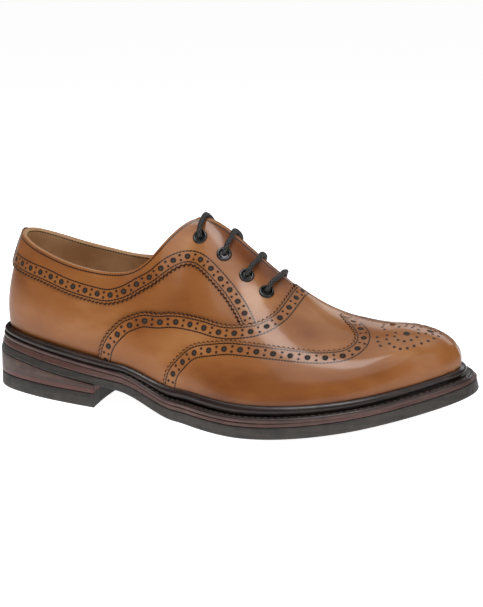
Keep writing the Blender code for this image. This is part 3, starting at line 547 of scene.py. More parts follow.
def eyelet_places():
    """(name, along, height) of all eyelets."""
    rows = []
    for number, (along, height) in enumerate(EYELETS, start=1):
        rows.append((f"eyelet_outer_{number}", along, height))
        rows.append((f"eyelet_inner_{number}", -along, inner_height(along, height)))
    return rows


class Wires:
    """Short names for adding shader nodes to a tree."""

    def __init__(self, tree):
        self.tree = tree

    def node(self, kind, inputs=(), **settings):
        made = self.tree.nodes.new(kind)
        for key, value in settings.items():
            setattr(made, key, value)
        for key, value in dict(inputs).items():
            self.put(made.inputs[key], value)
        return made

    def put(self, socket, value):
        if isinstance(value, bpy.types.NodeSocket):
            self.tree.links.new(value, socket)
        else:
            socket.default_value = value

    def math(self, operation, first, second=0.0, third=0.0):
        inputs = {0: first, 1: second, 2: third}
        return self.node("ShaderNodeMath", inputs, operation=operation).outputs[0]

    def ramp(self, value, low, high, to_low=0.0, to_high=1.0):
        """A smooth step of value from low to high."""
        made = self.node("ShaderNodeMapRange", {0: value, 1: low, 2: high, 3: to_low, 4: to_high},
                         interpolation_type="SMOOTHSTEP")
        return made.outputs[0]

    def mix(self, share, first, second):
        made = self.node("ShaderNodeMix", data_type="RGBA")
        for socket, value in zip((made.inputs[0], made.inputs[6], made.inputs[7]), (share, first, second)):
            self.put(socket, value)
        return made.outputs[2]

    def noise(self, vector, scale, detail=3.0, rough=0.55):
        made = self.node("ShaderNodeTexNoise", {"Vector": vector, "Scale": scale, "Detail": detail,
                                                "Roughness": rough})
        return made.outputs["Fac"]

    def spot(self):
        return self.node("ShaderNodeTexCoord").outputs["Object"]

    def stretched(self, scale):
        made = self.node("ShaderNodeVectorMath", {0: self.spot(), 1: scale}, operation="MULTIPLY")
        return made.outputs[0]

    def map(self, name):
        """Run and distance that the piece's own map holds."""
        split = self.node("ShaderNodeSeparateXYZ", {0: self.node("ShaderNodeUVMap", uv_map=name).outputs[0]})
        return split.outputs[0], split.outputs[1]

    def away(self, value, mark):
        """Distance between a value and a mark."""
        return self.math("ABSOLUTE", self.math("SUBTRACT", value, mark))

    def shared(self, name, maker):
        """A node of the named group, which its maker builds once."""
        return self.node("ShaderNodeGroup", node_tree=bpy.data.node_groups.get(name) or maker())

    def tone(self):
        """The tone painted on the piece: on the tan its burnish and painted highlights, on the welt which
        rows are its side.
        """
        return self.node("ShaderNodeAttribute", attribute_name="tone").outputs["Fac"]


def group(name, inputs, outputs):
    """An empty node group with its sockets, as (tree, wires, its input node, its output node)."""
    tree = bpy.data.node_groups.new(name, "ShaderNodeTree")
    for label, value in inputs:
        made = tree.interface.new_socket(label, in_out="INPUT", socket_type="NodeSocketFloat")
        made.default_value = value
    for label in outputs:
        tree.interface.new_socket(label, in_out="OUTPUT", socket_type="NodeSocketFloat")
    wires = Wires(tree)
    return tree, wires, wires.node("NodeGroupInput"), wires.node("NodeGroupOutput")


def brogue_group():
    """Masks of holes, rims, stitches and raw edge, the last widened into a painted shadow line, from the band
    map (run, distance from the edge).

    Its ramps run over millimetres; its heights are metres.
    """
    looks = bpy.context.scene.shoe_looks
    tree, w, given, out = group("Brogue Band", [("Hole Pitch", 9.0)],
                                ["Hole", "Rim", "Deep", "Thread", "Edge", "Height"])
    run, far = (w.math("MULTIPLY", part, MM) for part in w.map("band"))
    rim_run, rim_far = (w.math("MULTIPLY", part, MM) for part in w.map("rim"))
    pitch = given.outputs["Hole Pitch"]

    def repeat(value, length, shift):
        """Distance from the nearest of marks a length apart."""
        turns = w.math("ADD", w.math("DIVIDE", value, length), shift)
        near = w.math("SUBTRACT", w.math("FRACT", turns), 0.5)
        return w.math("ABSOLUTE", w.math("MULTIPLY", near, length))

    def outside(x, y, width):
        """Distance from a round hole of the given width in metres, below 0 inside it."""
        middle = w.math("SQRT", w.math("ADD", w.math("MULTIPLY", x, x), w.math("MULTIPLY", y, y)))
        return w.math("SUBTRACT", middle, width * MM / 2)

    across = w.away(far, looks.hole_row * MM)
    pair = w.math("SUBTRACT", across, looks.pair_width * MM / 2)
    big = outside(repeat(run, pitch, 0.0), across, looks.big_hole)
    small = outside(repeat(run, pitch, 0.5), pair, looks.small_hole)
    hole = w.math("MINIMUM", big, small)
    lip = w.away(hole, 0.12)

    rows = w.math("MINIMUM", *(w.away(far, row * MM) for row in looks.stitch_rows))
    rim_row = w.away(rim_far, looks.rim_stitch * MM)
    gauge = looks.stitch_pitch * MM

    def thread(row, along):
        line = w.ramp(row, 0.58, 0.30)
        dash = w.ramp(repeat(along, gauge, 0.0), gauge * 0.30, gauge * 0.46, 1.0, 0.45)
        return line, w.math("MULTIPLY", line, dash)

    line_a, thread_a = thread(rows, run)
    line_b, thread_b = thread(rim_row, rim_run)
    sunk = w.math("MULTIPLY", w.ramp(hole, 0.12, -0.45), -0.0007)
    raised_lip = w.math("MULTIPLY", w.ramp(lip, 0.45, 0.0), 0.00008)
    pressed = w.math("MULTIPLY", w.math("MAXIMUM", line_a, line_b), -0.00016)
    w.put(out.inputs["Hole"], w.ramp(hole, 0.10, -0.12))
    w.put(out.inputs["Rim"], w.ramp(lip, 0.42, 0.06))
    w.put(out.inputs["Deep"], w.ramp(hole, -0.25, -0.80))
    w.put(out.inputs["Thread"], w.math("MAXIMUM", thread_a, thread_b))
    # the dark edge runs nearly a millimetre in from the cut: dyed raw edge and a painted shadow line beside
    # it
    w.put(out.inputs["Edge"], w.ramp(far, 0.95, 0.40))
    w.put(out.inputs["Height"], w.math("ADD", w.math("ADD", sunk, raised_lip), pressed))
    return tree


def grain_group():
    """Fine calf grain and hair-thin creases: a height in metres and a roughness change."""
    tree, w, given, out = group("Leather Grain", [("Depth", 0.00003)], ["Height", "Wear"])
    fine = w.noise(w.spot(), 1500.0, 4.0, 0.6)
    pores = w.node("ShaderNodeTexVoronoi", {"Vector": w.spot(), "Scale": 1100.0}).outputs["Distance"]
    broad = w.noise(w.spot(), 90.0, 4.0, 0.55)
    both = w.math("ADD", w.math("MULTIPLY", fine, 0.6), w.math("MULTIPLY", pores, 0.4))
    w.put(out.inputs["Height"], w.math("MULTIPLY", both, given.outputs["Depth"]))
    w.put(out.inputs["Wear"], broad)
    return tree


def patina_and_highlight_group():
    """Two slow clouds, one streaked along the shoe, that lighten and burnish the tan, shifted by the piece's
    tone; a tone below zero gives painted highlights.
    """
    tree, w, given, out = group("Tan Patina And Highlights", [("Tone", 0.0)], ["Dark", "Light"])
    cloud = w.noise(w.stretched((16.0, 22.0, 26.0)), 1.0, 3.0, 0.5)
    streak = w.noise(w.stretched((34.0, 60.0, 90.0)), 1.0, 4.0, 0.6)
    blend = w.math("ADD", w.math("MULTIPLY", cloud, 0.7), w.math("MULTIPLY", streak, 0.3))
    tone = w.math("ADD", w.math("SUBTRACT", blend, 0.5), w.math("MULTIPLY", given.outputs["Tone"], 0.5))
    w.put(out.inputs["Dark"], w.ramp(tone, -0.02, 0.30))
    # Light: pale clouds, and painted highlights where the tone is below zero
    w.put(out.inputs["Light"], w.ramp(tone, 0.02, -0.26))
    return tree


def shader(name, roughness, metallic=0.0, coat=0.0, coat_roughness=0.1, specular=0.5):
    """A new material: (material, wires, its Principled node)."""
    made = bpy.data.materials.new(name)
    made.use_nodes = True
    principled = made.node_tree.nodes["Principled BSDF"]
    for key, value in (("Roughness", roughness), ("Metallic", metallic), ("Coat Weight", coat),
                       ("Coat Roughness", coat_roughness), ("Specular IOR Level", specular)):
        principled.inputs[key].default_value = value
    return made, Wires(made.node_tree), principled


def bumped(w, principled, height):
    """Puts a height in metres on the material."""
    normal = w.node("ShaderNodeBump", {"Height": height, "Strength": 1.0, "Distance": 1.0})
    w.put(principled.inputs["Normal"], normal.outputs[0])


def tan_leather(name, pitch=9.0):
    """Burnished tan calf with the broguing of its band, painted highlights from its tone, painted shade in
    its holes and a painted shadow line along its cut edge.
    """
    made, w, principled = shader(name, 0.36, coat=0.50, coat_roughness=0.14, specular=0.25)
    burnish_and_highlights = w.shared("Tan Patina And Highlights", patina_and_highlight_group)
    w.put(burnish_and_highlights.inputs["Tone"], w.tone())
    band = w.shared("Brogue Band", brogue_group)
    band.inputs["Hole Pitch"].default_value = pitch
    grain = w.shared("Leather Grain", grain_group)
    colour = w.mix(burnish_and_highlights.outputs["Dark"], TAN, TAN_DARK)
    # lighter tan: pale clouds, and painted highlights where the tone is below zero
    colour = w.mix(burnish_and_highlights.outputs["Light"], colour, TAN_LIGHT)
    colour = w.mix(w.math("MULTIPLY", band.outputs["Rim"], 0.80), colour, HOLE_RIM)
    # painted shade inside the holes: darkest at the wall, greyer at the floor
    colour = w.mix(band.outputs["Hole"], colour, w.mix(band.outputs["Deep"], HOLE_WALL_SHADE, HOLE_FLOOR_SHADE))
    colour = w.mix(band.outputs["Thread"], colour, THREAD)
    # dyed cut edge with a painted shadow line along it
    colour = w.mix(w.math("MULTIPLY", band.outputs["Edge"], 0.96), colour, CUT_EDGE_AND_SHADOW)
    w.put(principled.inputs["Base Color"], colour)
    flaws = w.math("MAXIMUM", band.outputs["Hole"], band.outputs["Edge"])
    rough = w.math("ADD", w.ramp(grain.outputs["Wear"], 0.3, 0.75, 0.32, 0.44),
                   w.math("MULTIPLY", flaws, 0.35))
    w.put(principled.inputs["Roughness"], rough)
    w.put(principled.inputs["Coat Weight"], w.ramp(flaws, 0.0, 0.6, 0.50, 0.0))
    bumped(w, principled, w.math("ADD", band.outputs["Height"], grain.outputs["Height"]))
    return made


def plain_leather(name, light, dark, roughness, scale=60.0, coat=0.0):
    """Clouded leather, or thread, of two colours."""
    made, w, principled = shader(name, roughness, coat=coat)
    cloud = w.ramp(w.noise(w.spot(), scale, 4.0, 0.6), 0.35, 0.68)
    w.put(principled.inputs["Base Color"], w.mix(cloud, light, dark))
    grain = w.shared("Leather Grain", grain_group)
    grain.inputs["Depth"].default_value = 0.00004
    bumped(w, principled, grain.outputs["Height"])
    return made


def lining_leather():
    """Pale lining with a darker rolled top edge and a stitch row below it."""
    made, w, principled = shader("Lining Leather", 0.62)
    cloud = w.ramp(w.noise(w.spot(), 45.0, 4.0, 0.6), 0.35, 0.68)
    colour = w.mix(cloud, LINING, LINING_DARK)
    run, far = (w.math("MULTIPLY", part, MM) for part in w.map("rim"))
    line = w.ramp(w.away(far, LINING_ROW), 0.6, 0.25)
    dash = w.ramp(w.math("FRACT", w.math("DIVIDE", run, LINING_STITCH)), 0.55, 0.75, 1.0, 0.2)
    colour = w.mix(w.math("MULTIPLY", line, dash), colour, LINING_THREAD)
    colour = w.mix(w.ramp(far, *LINING_FADE), colour, LINING_RIM)
    w.put(principled.inputs["Base Color"], colour)
    grain = w.shared("Leather Grain", grain_group)
    bumped(w, principled, w.math("ADD", w.math("MULTIPLY", line, -0.0002), grain.outputs["Height"]))
    return made


def layered_edge(name, light, dark, roughness, coat=0.0, fineness=(12.0, 12.0, 1500.0), depth=0.0001,
                 strips=(), toned=None):
    """An edge ground across its layers: thin level streaks; strips are (low z, high z, colour).

    Where the piece's tone is 1 it takes the toned colour.
    """
    made, w, principled = shader(name, roughness, coat=coat, coat_roughness=0.2)
    streak = w.noise(w.stretched(fineness), 1.0, 3.0, 0.6)
    mottle = w.noise(w.spot(), 160.0, 4.0, 0.6)
    both = w.math("ADD", w.math("MULTIPLY", streak, 0.65), w.math("MULTIPLY", mottle, 0.35))
    colour = w.mix(w.ramp(both, 0.36, 0.66), light, dark)
    height = w.node("ShaderNodeSeparateXYZ", {0: w.spot()}).outputs[2]
    soft = 0.0002
    for low, high, shade in strips:
        inside = w.math("MULTIPLY", w.ramp(height, low - soft, low + soft),
                        w.ramp(height, high + soft, high - soft))
        colour = w.mix(inside, colour, shade)
    if toned:
        deep = (*(0.6 * part for part in toned[:3]), 1)
        colour = w.mix(w.ramp(w.tone(), 0.35, 0.65), colour, w.mix(w.ramp(both, 0.36, 0.66), toned, deep))
    w.put(principled.inputs["Base Color"], colour)
    w.put(principled.inputs["Roughness"], w.ramp(mottle, 0.3, 0.7, roughness - 0.06, roughness + 0.1))
    bumped(w, principled, w.math("MULTIPLY", both, depth))
    return made


def braid():
    """Waxed round lace: two sets of crossing strands from its own map (run, turn)."""
    made, w, principled = shader("Braided Lace", 0.62, specular=0.4)
    run, turn = w.map("band")
    run = w.math("MULTIPLY", run, 2 * np.pi / BRAID_PITCH)
    turn = w.math("MULTIPLY", turn, 2 * np.pi * BRAID_STRANDS)
    one = w.math("SINE", w.math("ADD", run, turn))
    two = w.math("SINE", w.math("SUBTRACT", run, turn))
    weave = w.math("MAXIMUM", one, two)
    # darker in the grooves between the strands: painted shade over the braid's bump
    w.put(principled.inputs["Base Color"], w.mix(w.ramp(weave, -0.1, 0.9), LACE_DARK, LACE_LIGHT))
    bumped(w, principled, w.math("MULTIPLY", weave, 0.00016))
    return made


def black_metal():
    """Blackened metal, finely scratched."""
    made, w, principled = shader("Black Eyelet", 0.22, metallic=0.85, coat=0.5)
    scratch = w.noise(w.stretched((900.0, 120.0, 120.0)), 1.0, 2.0, 0.5)
    w.put(principled.inputs["Base Color"], w.mix(w.ramp(scratch, 0.35, 0.7), METAL_DARK, METAL_LIGHT))
    w.put(principled.inputs["Roughness"], w.ramp(scratch, 0.3, 0.7, 0.2, 0.32))
    return made


class ShoeLooks(bpy.types.PropertyGroup):
    """Sizes of the work that is laid on the leather."""
    tooth_pitch: bpy.props.FloatProperty(
        name="Tooth Pitch", description="Length of one tooth of the cut edges", default=0.0029, unit="LENGTH")
    tooth_depth: bpy.props.FloatProperty(
        name="Tooth Depth", description="How far a tooth stands out", default=0.0018, unit="LENGTH")
    hole_pitch: bpy.props.FloatProperty(
        name="Hole Pitch", description="Distance between large holes", default=0.0098, unit="LENGTH")
    hole_row: bpy.props.FloatProperty(
        name="Hole Row", description="Large holes' distance from the edge", default=0.0052, unit="LENGTH")
    big_hole: bpy.props.FloatProperty(
        name="Large Hole", description="Width of a large hole", default=0.0031, unit="LENGTH")
    small_hole: bpy.props.FloatProperty(
        name="Small Hole", description="Width of a small hole", default=0.0011, unit="LENGTH")
    pair_width: bpy.props.FloatProperty(
        name="Pair Width", description="Distance across a pair of small holes", default=0.0032, unit="LENGTH")
    stitch_rows: bpy.props.FloatVectorProperty(
        name="Stitch Rows", description="Distances of both stitch rows from the edge", size=2,
        default=(0.0018, 0.0086), unit="LENGTH")
    stitch_pitch: bpy.props.FloatProperty(
        name="Stitch Pitch", description="Length of one stitch", default=0.0018, unit="LENGTH")
    rim_stitch: bpy.props.FloatProperty(
        name="Rim Stitch", description="Distance of the stitch row from the top edge", default=0.0015,
        unit="LENGTH")
    column_step: bpy.props.FloatProperty(
        name="Column Step", description="Distance between columns along a seam", default=0.00042,
        unit="LENGTH")
    welt_stitch: bpy.props.FloatProperty(
        name="Welt Stitch", description="Length of one stitch of the welt", default=0.0039, unit="LENGTH")


class ShoeStage(bpy.types.PropertyGroup):
    """Camera and lights."""
    turn: bpy.props.FloatProperty(
        name="Turn", description="Camera's turn round the shoe", default=np.radians(23.0), subtype="ANGLE")
    height: bpy.props.FloatProperty(
        name="Height", description="Camera's angle over the floor", default=np.radians(14.8),
        subtype="ANGLE")
    roll: bpy.props.FloatProperty(
        name="Roll", description="Camera's roll", default=np.radians(-0.35), subtype="ANGLE")
    distance: bpy.props.FloatProperty(
        name="Distance", description="Camera's distance", default=0.80, unit="LENGTH")
    lens: bpy.props.FloatProperty(
        name="Lens", description="Focal length in millimetres", default=97.8)
    key_power: bpy.props.FloatProperty(
        name="Key Power", description="Power of the large soft light", default=4.5, unit="POWER")


def toothed(run, pitch, depth):
    """A pinked edge's outward step: rounded teeth `pitch` long."""
    wave = np.abs((run / pitch) % 1.0 - 0.5) * 2.0
    return depth * (wave ** 0.8 - 0.5)


def banded_panel(name, place, rows, side, top, lift, far_row, ends, shade, rim_from_top=False):
    """A panel with a pinked, stitched and punched edge.

    Its first rows follow the seam at real distances from the cut; the rest blends, in the
    surface's own two parameters, from the last band row to the far row, with both side
    edges drawn to the given end rows. The band map runs along the row of holes; the rim map
    holds the distance from the top edge, where there is one.
    """
    looks = bpy.context.scene.shoe_looks
    seam, run = even_seam(place, rows, looks.column_step)
    distances = [d for d, _ in EDGE_ROWS] + BAND_ROWS
    shares = np.array([s for _, s in EDGE_ROWS] + [1.0] * len(BAND_ROWS))
    lines, lefts = band_rows(place, seam, distances, side, top)
    tooth = toothed(run, looks.tooth_pitch, looks.tooth_depth)
    fade = np.clip(1.0 - np.array(distances) / TOOTH_REACH, 0.0, 1.0)
    lines = lines - lefts * (tooth[None, :] * fade[:, None])[..., None]
    lines[..., 1] = np.clip(lines[..., 1], 0.0, top)
    lifts = np.repeat((lift * shares)[:, None], len(run), 1)

    near = lines[-1]
    far = far_row(near, len(run))
    v = np.linspace(0.0, 1.0, BODY_ROWS)[1:, None, None]
    body = (1 - v) * near[None] + v * far[None]
    u = np.linspace(0.0, 1.0, len(run))[None, :, None]
    for edge, at, weight in ((ends[0], 0, (1 - u) ** 10), (ends[1], -1, u ** 10)):
        if edge is not None:
            line = edge(near[at], far[at], v[:, 0, 0])
            body = body + weight * (line[:, None] - body[:, at:at + 1 if at == 0 else None])
    body[..., 1] = np.clip(body[..., 1], 0.0, top)
    whole = np.concatenate([lines, body])
    lifts = np.concatenate([lifts, np.full((len(body), len(run)), lift)])
    points = lifted(place, whole[..., 0], whole[..., 1], lifts)
    row = int(np.abs(np.array(distances) - looks.hole_row).argmin())
    depths = np.concatenate([distances, np.full(len(body), PLAIN_FAR)])
    depths[:2] = EDGE_BACK
    maps = np.stack(np.broadcast_arrays(ring_run(points[row])[None, :], depths[:, None]), -1)
    rim_map = None
    if rim_from_top:
        rolled = lifted(place, whole[-1, :, 0], whole[-1, :, 1], lift - ROLL_DEPTH)
        up = unit(points[-1] - points[-2])
        points = np.concatenate([points, (0.5 * (points[-1] + rolled) + up * ROLL_CREST)[None],
                                 (rolled + up * ROLL_END)[None]])
        maps = np.concatenate([maps, maps[-1:], maps[-1:]])
        whole = np.concatenate([whole, whole[-1:], whole[-1:]])
        top_edge = points[-3]
        walked = ring_run(top_edge)
        rim_map = np.ones((*points.shape[:2], 2))
        for number in range(len(points) - RIM_ROWS, len(points)):
            gaps = np.linalg.norm(points[number][:, None] - top_edge[None], axis=2)
            rim_map[number] = np.column_stack([walked[gaps.argmin(1)], gaps.min(1)])
        rim_map[-2:, :, 1] = 0.0
    tone = painted(whole[..., 0], whole[..., 1])
    return mesh_piece(name, points, shade, maps, rim_map, tone, flip=True)


# Burnish stains and painted highlights, each (along, height over the crest, reach along, reach up,
# darkening); a negative darkening is a painted highlight
STAINS_AND_HIGHLIGHTS = [
    (0.56, 0.93, 0.05, 0.10, 1.1), (0.50, 0.95, 0.04, 0.08, 0.8), (0.57, 0.72, 0.035, 0.10, -1.0),
    (0.47, 0.80, 0.03, 0.12, -0.6), (0.67, 0.96, 0.05, 0.20, -0.5), (0.68, 0.68, 0.05, 0.12, 0.9),
    (0.60, 0.15, 0.10, 0.10, 0.5), (0.42, 0.48, 0.06, 0.10, 0.9), (0.33, 0.62, 0.06, 0.10, -0.3),
    (0.52, 0.36, 0.08, 0.05, -0.7), (0.72, 0.30, 0.10, 0.10, 0.5), (0.86, 0.50, 0.05, 0.10, -0.6),
    (0.14, 0.35, 0.08, 0.20, -0.2), (0.80, 0.80, 0.06, 0.15, 0.8), (0.05, 0.55, 0.06, 0.12, 0.4),
]


def painted(a, h):
    """The tone painted on the skin at each place, the same on both sides: darker towards the sole, darker
    burnish stains, and painted highlights where a stain's darkening is negative.
    """
    level = np.abs(a)
    up = np.where(h > 1.0, 2.0 - h, h)
    tone = 0.45 * np.exp(-(up / 0.07) ** 2)
    # stains of negative strength lighten the tan: painted highlights
    for along, height, reach, rise, strength in STAINS_AND_HIGHLIGHTS:
        tone = tone + 0.45 * strength * np.exp(-((level - along) / reach) ** 2 - ((up - height) / rise) ** 2)
    return tone


def both_sides(rows):
    """A seam's outer rows, then the same rows down the inner side over the crest."""
    rows = [tuple(r) for r in rows]
    return rows + [(a, 2.0 - h) for a, h in rows[-2::-1]]


def sampled(curve, count):
    """A curve's points at even shares of its run."""
    run = ring_run(curve * np.array([LAST_LENGTH, LAST_WIDTH]))
    at = np.linspace(0.0, run[-1], count)
    return np.stack([np.interp(at, run, curve[:, k]) for k in (0, 1)], 1)


class SHOE_OT_quarters(bpy.types.Operator):
    """Quarters, lining and the rolled top edge"""
    bl_idname = "shoe.quarters"
    bl_label = "Quarters and lining"

    def execute(self, context):
        tan = tan_leather("Tan Calf")
        a = np.linspace(-1.0, 1.0, 521)
        h = np.linspace(0.0, 1.0, 81)
        grid_a, grid_h = np.meshgrid(a, h, indexing="ij")
        outer = lifted(around, grid_a, grid_h, 0.0)
        leather = mesh_piece("Quarters", outer, tan, tone=painted(grid_a, grid_h))
        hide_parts("upper")

        open_a = np.linspace(-THROAT_ALONG + 1e-4, THROAT_ALONG - 1e-4, 521)
        top_out = lifted(around, open_a, np.ones_like(open_a), LINING_LIFT)
        up = unit(top_out - lifted(around, open_a, np.full_like(open_a, 0.985), LINING_LIFT))
        rim_a, depth = np.meshgrid(open_a, np.linspace(0.0, 1.0, 9), indexing="ij")
        sweep = lifted(around, rim_a, np.ones_like(rim_a), LINING_LIFT - depth * (WALL + LINING_LIFT))
        sweep = sweep + up[:, None] * (LINING_ROLL * np.sin(np.pi * depth))[..., None]
        down_a, down = np.meshgrid(open_a, np.linspace(1.0, 0.0, 61)[1:], indexing="ij")
        wall = lifted(around, down_a, down, -WALL)
        whole = np.concatenate([sweep, wall], axis=1)
        steps = np.linalg.norm(np.diff(whole, axis=1), axis=2)
        far = np.concatenate([np.zeros((len(whole), 1)), np.cumsum(steps, axis=1)], axis=1)
        walked = ring_run(top_out)[:, None] * np.ones_like(far)
        lining = mesh_piece("Lining", whole, lining_leather(), rim=np.stack([walked, far], -1))
        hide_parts("upper")

        ahead_a = np.linspace(THROAT_ALONG, 1.0, 121)
        for name, side in (("Toe Lining Outer", 1.0), ("Toe Lining Inner", -1.0)):
            toe_a, toe_h = np.meshgrid(side * ahead_a, np.linspace(0.0, 1.0, 41), indexing="ij")
            toe = mesh_piece(name, lifted(around, toe_a, toe_h, -WALL), bpy.data.materials["Lining Leather"],
                             flip=side > 0)
            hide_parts("upper")
        return {"FINISHED"}


class SHOE_OT_panels(bpy.types.Operator):
    """Facing, vamp and wing cap with their pinked edges, holes and stitches, and the back strap"""
    bl_idname = "shoe.panels"
    bl_label = "Leather panels"

    def execute(self, context):
        looks = context.scene.shoe_looks
        pitch = looks.hole_pitch * MM
        outer_rows = [tuple(r) for r in FACING_SEAM] + [(0.584, 0.490)]
        rows = [(-a, h) for a, h in outer_rows[:0:-1]] + outer_rows

        def top_line(_, count):
            return np.stack([np.linspace(-1.0, 1.0, count) * (THROAT_ALONG - 0.0005), np.ones(count)], 1)

        def under_vamp(sign):
            """The facing's end under the vamp, bowed forward by the sign's side."""
            def line(start, stop, v):
                bow = np.interp(v, [0.0, 0.3, 0.6, 0.9, 1.0], [0.0, 0.018, 0.018, 0.009, 0.0])
                flat = start + (stop - start) * v[:, None]
                return flat + np.stack([sign * bow, 0.0 * bow], 1)
            return line

        facing = banded_panel("Facing", around, rows, 1.0, 1.0, FACING_LIFT, top_line,
                              (under_vamp(-1.0), under_vamp(1.0)),
                              tan_leather("Tan Calf Facing", pitch * FACING_PITCH), rim_from_top=True)
        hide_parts("facing_panel")

        cap_rows = both_sides(CAP_SEAM)

        def under_cap(near, count):
            """The spots under the cap's edge that lie nearest to each place of the vamp's band."""
            seam, _ = even_seam(over, cap_rows, 0.0015)
            lines, _ = band_rows(over, seam, [UNDERLAP], -1.0, 2.0)
            far = sampled(lines[0], 400)
            start, stop = over(near[:, 0], near[:, 1]), over(far[:, 0], far[:, 1])
            pick = ((start[:, None] - stop[None]) ** 2).sum(2).argmin(1).astype(float)
            pick[0], pick[-1] = 0.0, len(far) - 1.0
            pick = np.maximum.accumulate(pick)
            even = np.linspace(0.0, len(far) - 1.0, count)
            for _ in range(60):
                pick[1:-1] = 0.25 * pick[:-2] + 0.5 * pick[1:-1] + 0.25 * pick[2:]
            pick = 0.94 * pick + 0.06 * even
            return np.stack([np.interp(pick, np.arange(len(far)), far[:, k]) for k in (0, 1)], 1)

        vamp = banded_panel("Vamp", over, both_sides(VAMP_SEAM), -1.0, 2.0, VAMP_LIFT, under_cap,
                            (None, None), tan_leather("Tan Calf Vamp", pitch))
        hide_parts("vamp_panel")

        def toe_line(near, count):
            return np.stack([np.ones(count), near[:, 1]], 1)

        cap = banded_panel("Wing Cap", over, cap_rows, -1.0, 2.0, CAP_LIFT, toe_line, (None, None),
                           tan_leather("Tan Calf Cap", pitch * CAP_PITCH))
        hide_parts("wing_cap")

        half = STRAP_HALF_ALONG * STRAP_SHOWN
        edge = np.array([0.0, 0.0, 0.02, 0.06, 0.2, 0.35, 0.5, 0.65, 0.8, 0.94, 0.98, 1.0, 1.0])
        share = np.array([-0.2, 0.5, 0.9, 1.0, 1.0, 1.0, 1.0, 1.0, 1.0, 1.0, 0.9, 0.5, -0.2])
        a, h = np.meshgrid(half * (2 * edge - 1), np.linspace(STRAP_FOOT, 1.0, 40), indexing="ij")
        foot = np.clip((h - STRAP_FOOT) / STRAP_THINS, 0.0, 1.0)
        lift = FACING_LIFT + (STRAP_LIFT - FACING_LIFT) * np.minimum(share[:, None], foot)
        points = lifted(around, a, h, lift)
        walked = ring_run(points[6])[None, :] * np.ones_like(a)
        from_edge = np.minimum(edge, 1 - edge)[:, None] * np.linalg.norm(points[-1] - points[0], axis=1)
        dark = plain_leather("Dark Strap", STRAP, STRAP_DARK, 0.4, coat=0.2)
        strap = mesh_piece("Back Strap", points, dark, rim=np.stack([walked, from_edge], -1))
        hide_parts("back_strap")
        return {"FINISHED"}


# Holes of the toe's ornament: widths of both kinds, and on the outer half the places of each,
# (x, y from its middle line) in millimetres
HOLE_WIDTHS = 0.0034, 0.0015
LARGE_HOLES = [(105.6, 0.0), (116.6, -11.2), (127.6, 0.0)]
CURL_HOLES = [
    (110.3, -12.2), (110.9, -16.0), (113.6, -18.4), (117.2, -18.3), (120.6, -15.9), (122.9, -12.0),
    (122.6, -7.6), (106.4, -15.7), (107.3, -19.6), (109.8, -22.6), (113.1, -24.0), (116.6, -23.9),
    (120.1, -22.0), (123.2, -19.0), (101.6, -19.0), (103.1, -22.6), (105.4, -25.3), (110.2, -4.4),
    (113.4, -1.6), (117.4, -1.6), (121.2, -3.0), (100.6, -2.6), (100.8, -6.4), (103.0, -9.4),
    (126.4, -5.6), (129.8, -3.2), (126.5, -15.4), (129.4, -11.6), (131.6, -7.4), (133.0, -2.6),
]
ORNAMENT_Y = 0.0044


class SHOE_OT_ornament(bpy.types.Operator):
    """The toe ornament's punched holes, as dark discs of painted shade just over the cap"""
    bl_idname = "shoe.ornament"
    bl_label = "Toe ornament"

    def execute(self, context):
        spots = []
        for rows, width in zip((LARGE_HOLES, CURL_HOLES), HOLE_WIDTHS):
            for x, y in rows:
                spots += [(x / MM, s * y / MM + ORNAMENT_Y, width) for s in ((1, -1) if y else (1,))]
        spots = np.array(spots)
        a, t = np.meshgrid(np.linspace(0.72, 1.0, 240), np.linspace(0.3, 1.7, 420), indexing="ij")
        skin_points = lifted(over, a, t, CAP_LIFT)
        normals = unit(np.cross(np.gradient(skin_points, axis=0), np.gradient(skin_points, axis=1)))
        flat, facing = skin_points.reshape(-1, 3), normals.reshape(-1, 3)
        centre, normal = np.zeros((len(spots), 3)), np.zeros((len(spots), 3))
        for k, (x, y, _) in enumerate(spots):
            away = np.hypot(flat[:, 0] - x, flat[:, 1] - y)
            near = np.argsort(away)[:12]
            normal[k] = unit(facing[near].mean(0))
            middle = flat[near].mean(0)
            drop = (normal[k, 0] * (x - middle[0]) + normal[k, 1] * (y - middle[1])) / normal[k, 2]
            centre[k] = (x, y, middle[2] - drop)
        one = unit(np.cross(np.array([0.0, 1.0, 0.0]), normal))
        two = np.cross(normal, one)
        turns = np.linspace(0.0, 2 * np.pi, 17)
        # share of the hole's radius, height over the leather in metres
        cup = [(1.30, 0.00000), (1.16, 0.00008), (1.02, 0.00009), (0.92, 0.00004), (0.55, 0.00003),
               (0.0, 0.00003)]
        points, faces, maps, total = [], [], [], 0
        for k, (_, _, width) in enumerate(spots):
            rings = [centre[k] + normal[k] * lift + 0.5 * width * share * hoop(turns, one[k], two[k])
                     for share, lift in cup]
            faces.append(total + grid_faces(len(cup), len(turns))[:, ::-1])
            points.append(np.concatenate(rings))
            shade = np.repeat([share for share, _ in cup], len(turns))
            maps.append(np.stack([shade, shade], 1))
            total += len(cup) * len(turns)
        # each hole is a disc: painted shade in the middle, fading to tan at its rim
        made, w, principled = shader("Punched Hole Shade", 0.6)
        w.put(principled.inputs["Base Color"],
              w.mix(w.ramp(w.map("band")[0], 0.98, 1.25), PUNCHED_SHADE, PUNCHED_RIM))
        piece = raw_piece("Toe Ornament", np.concatenate(points), np.concatenate(faces), made,
                          band=np.concatenate(maps))
        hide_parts("wing_cap")
        return {"FINISHED"}


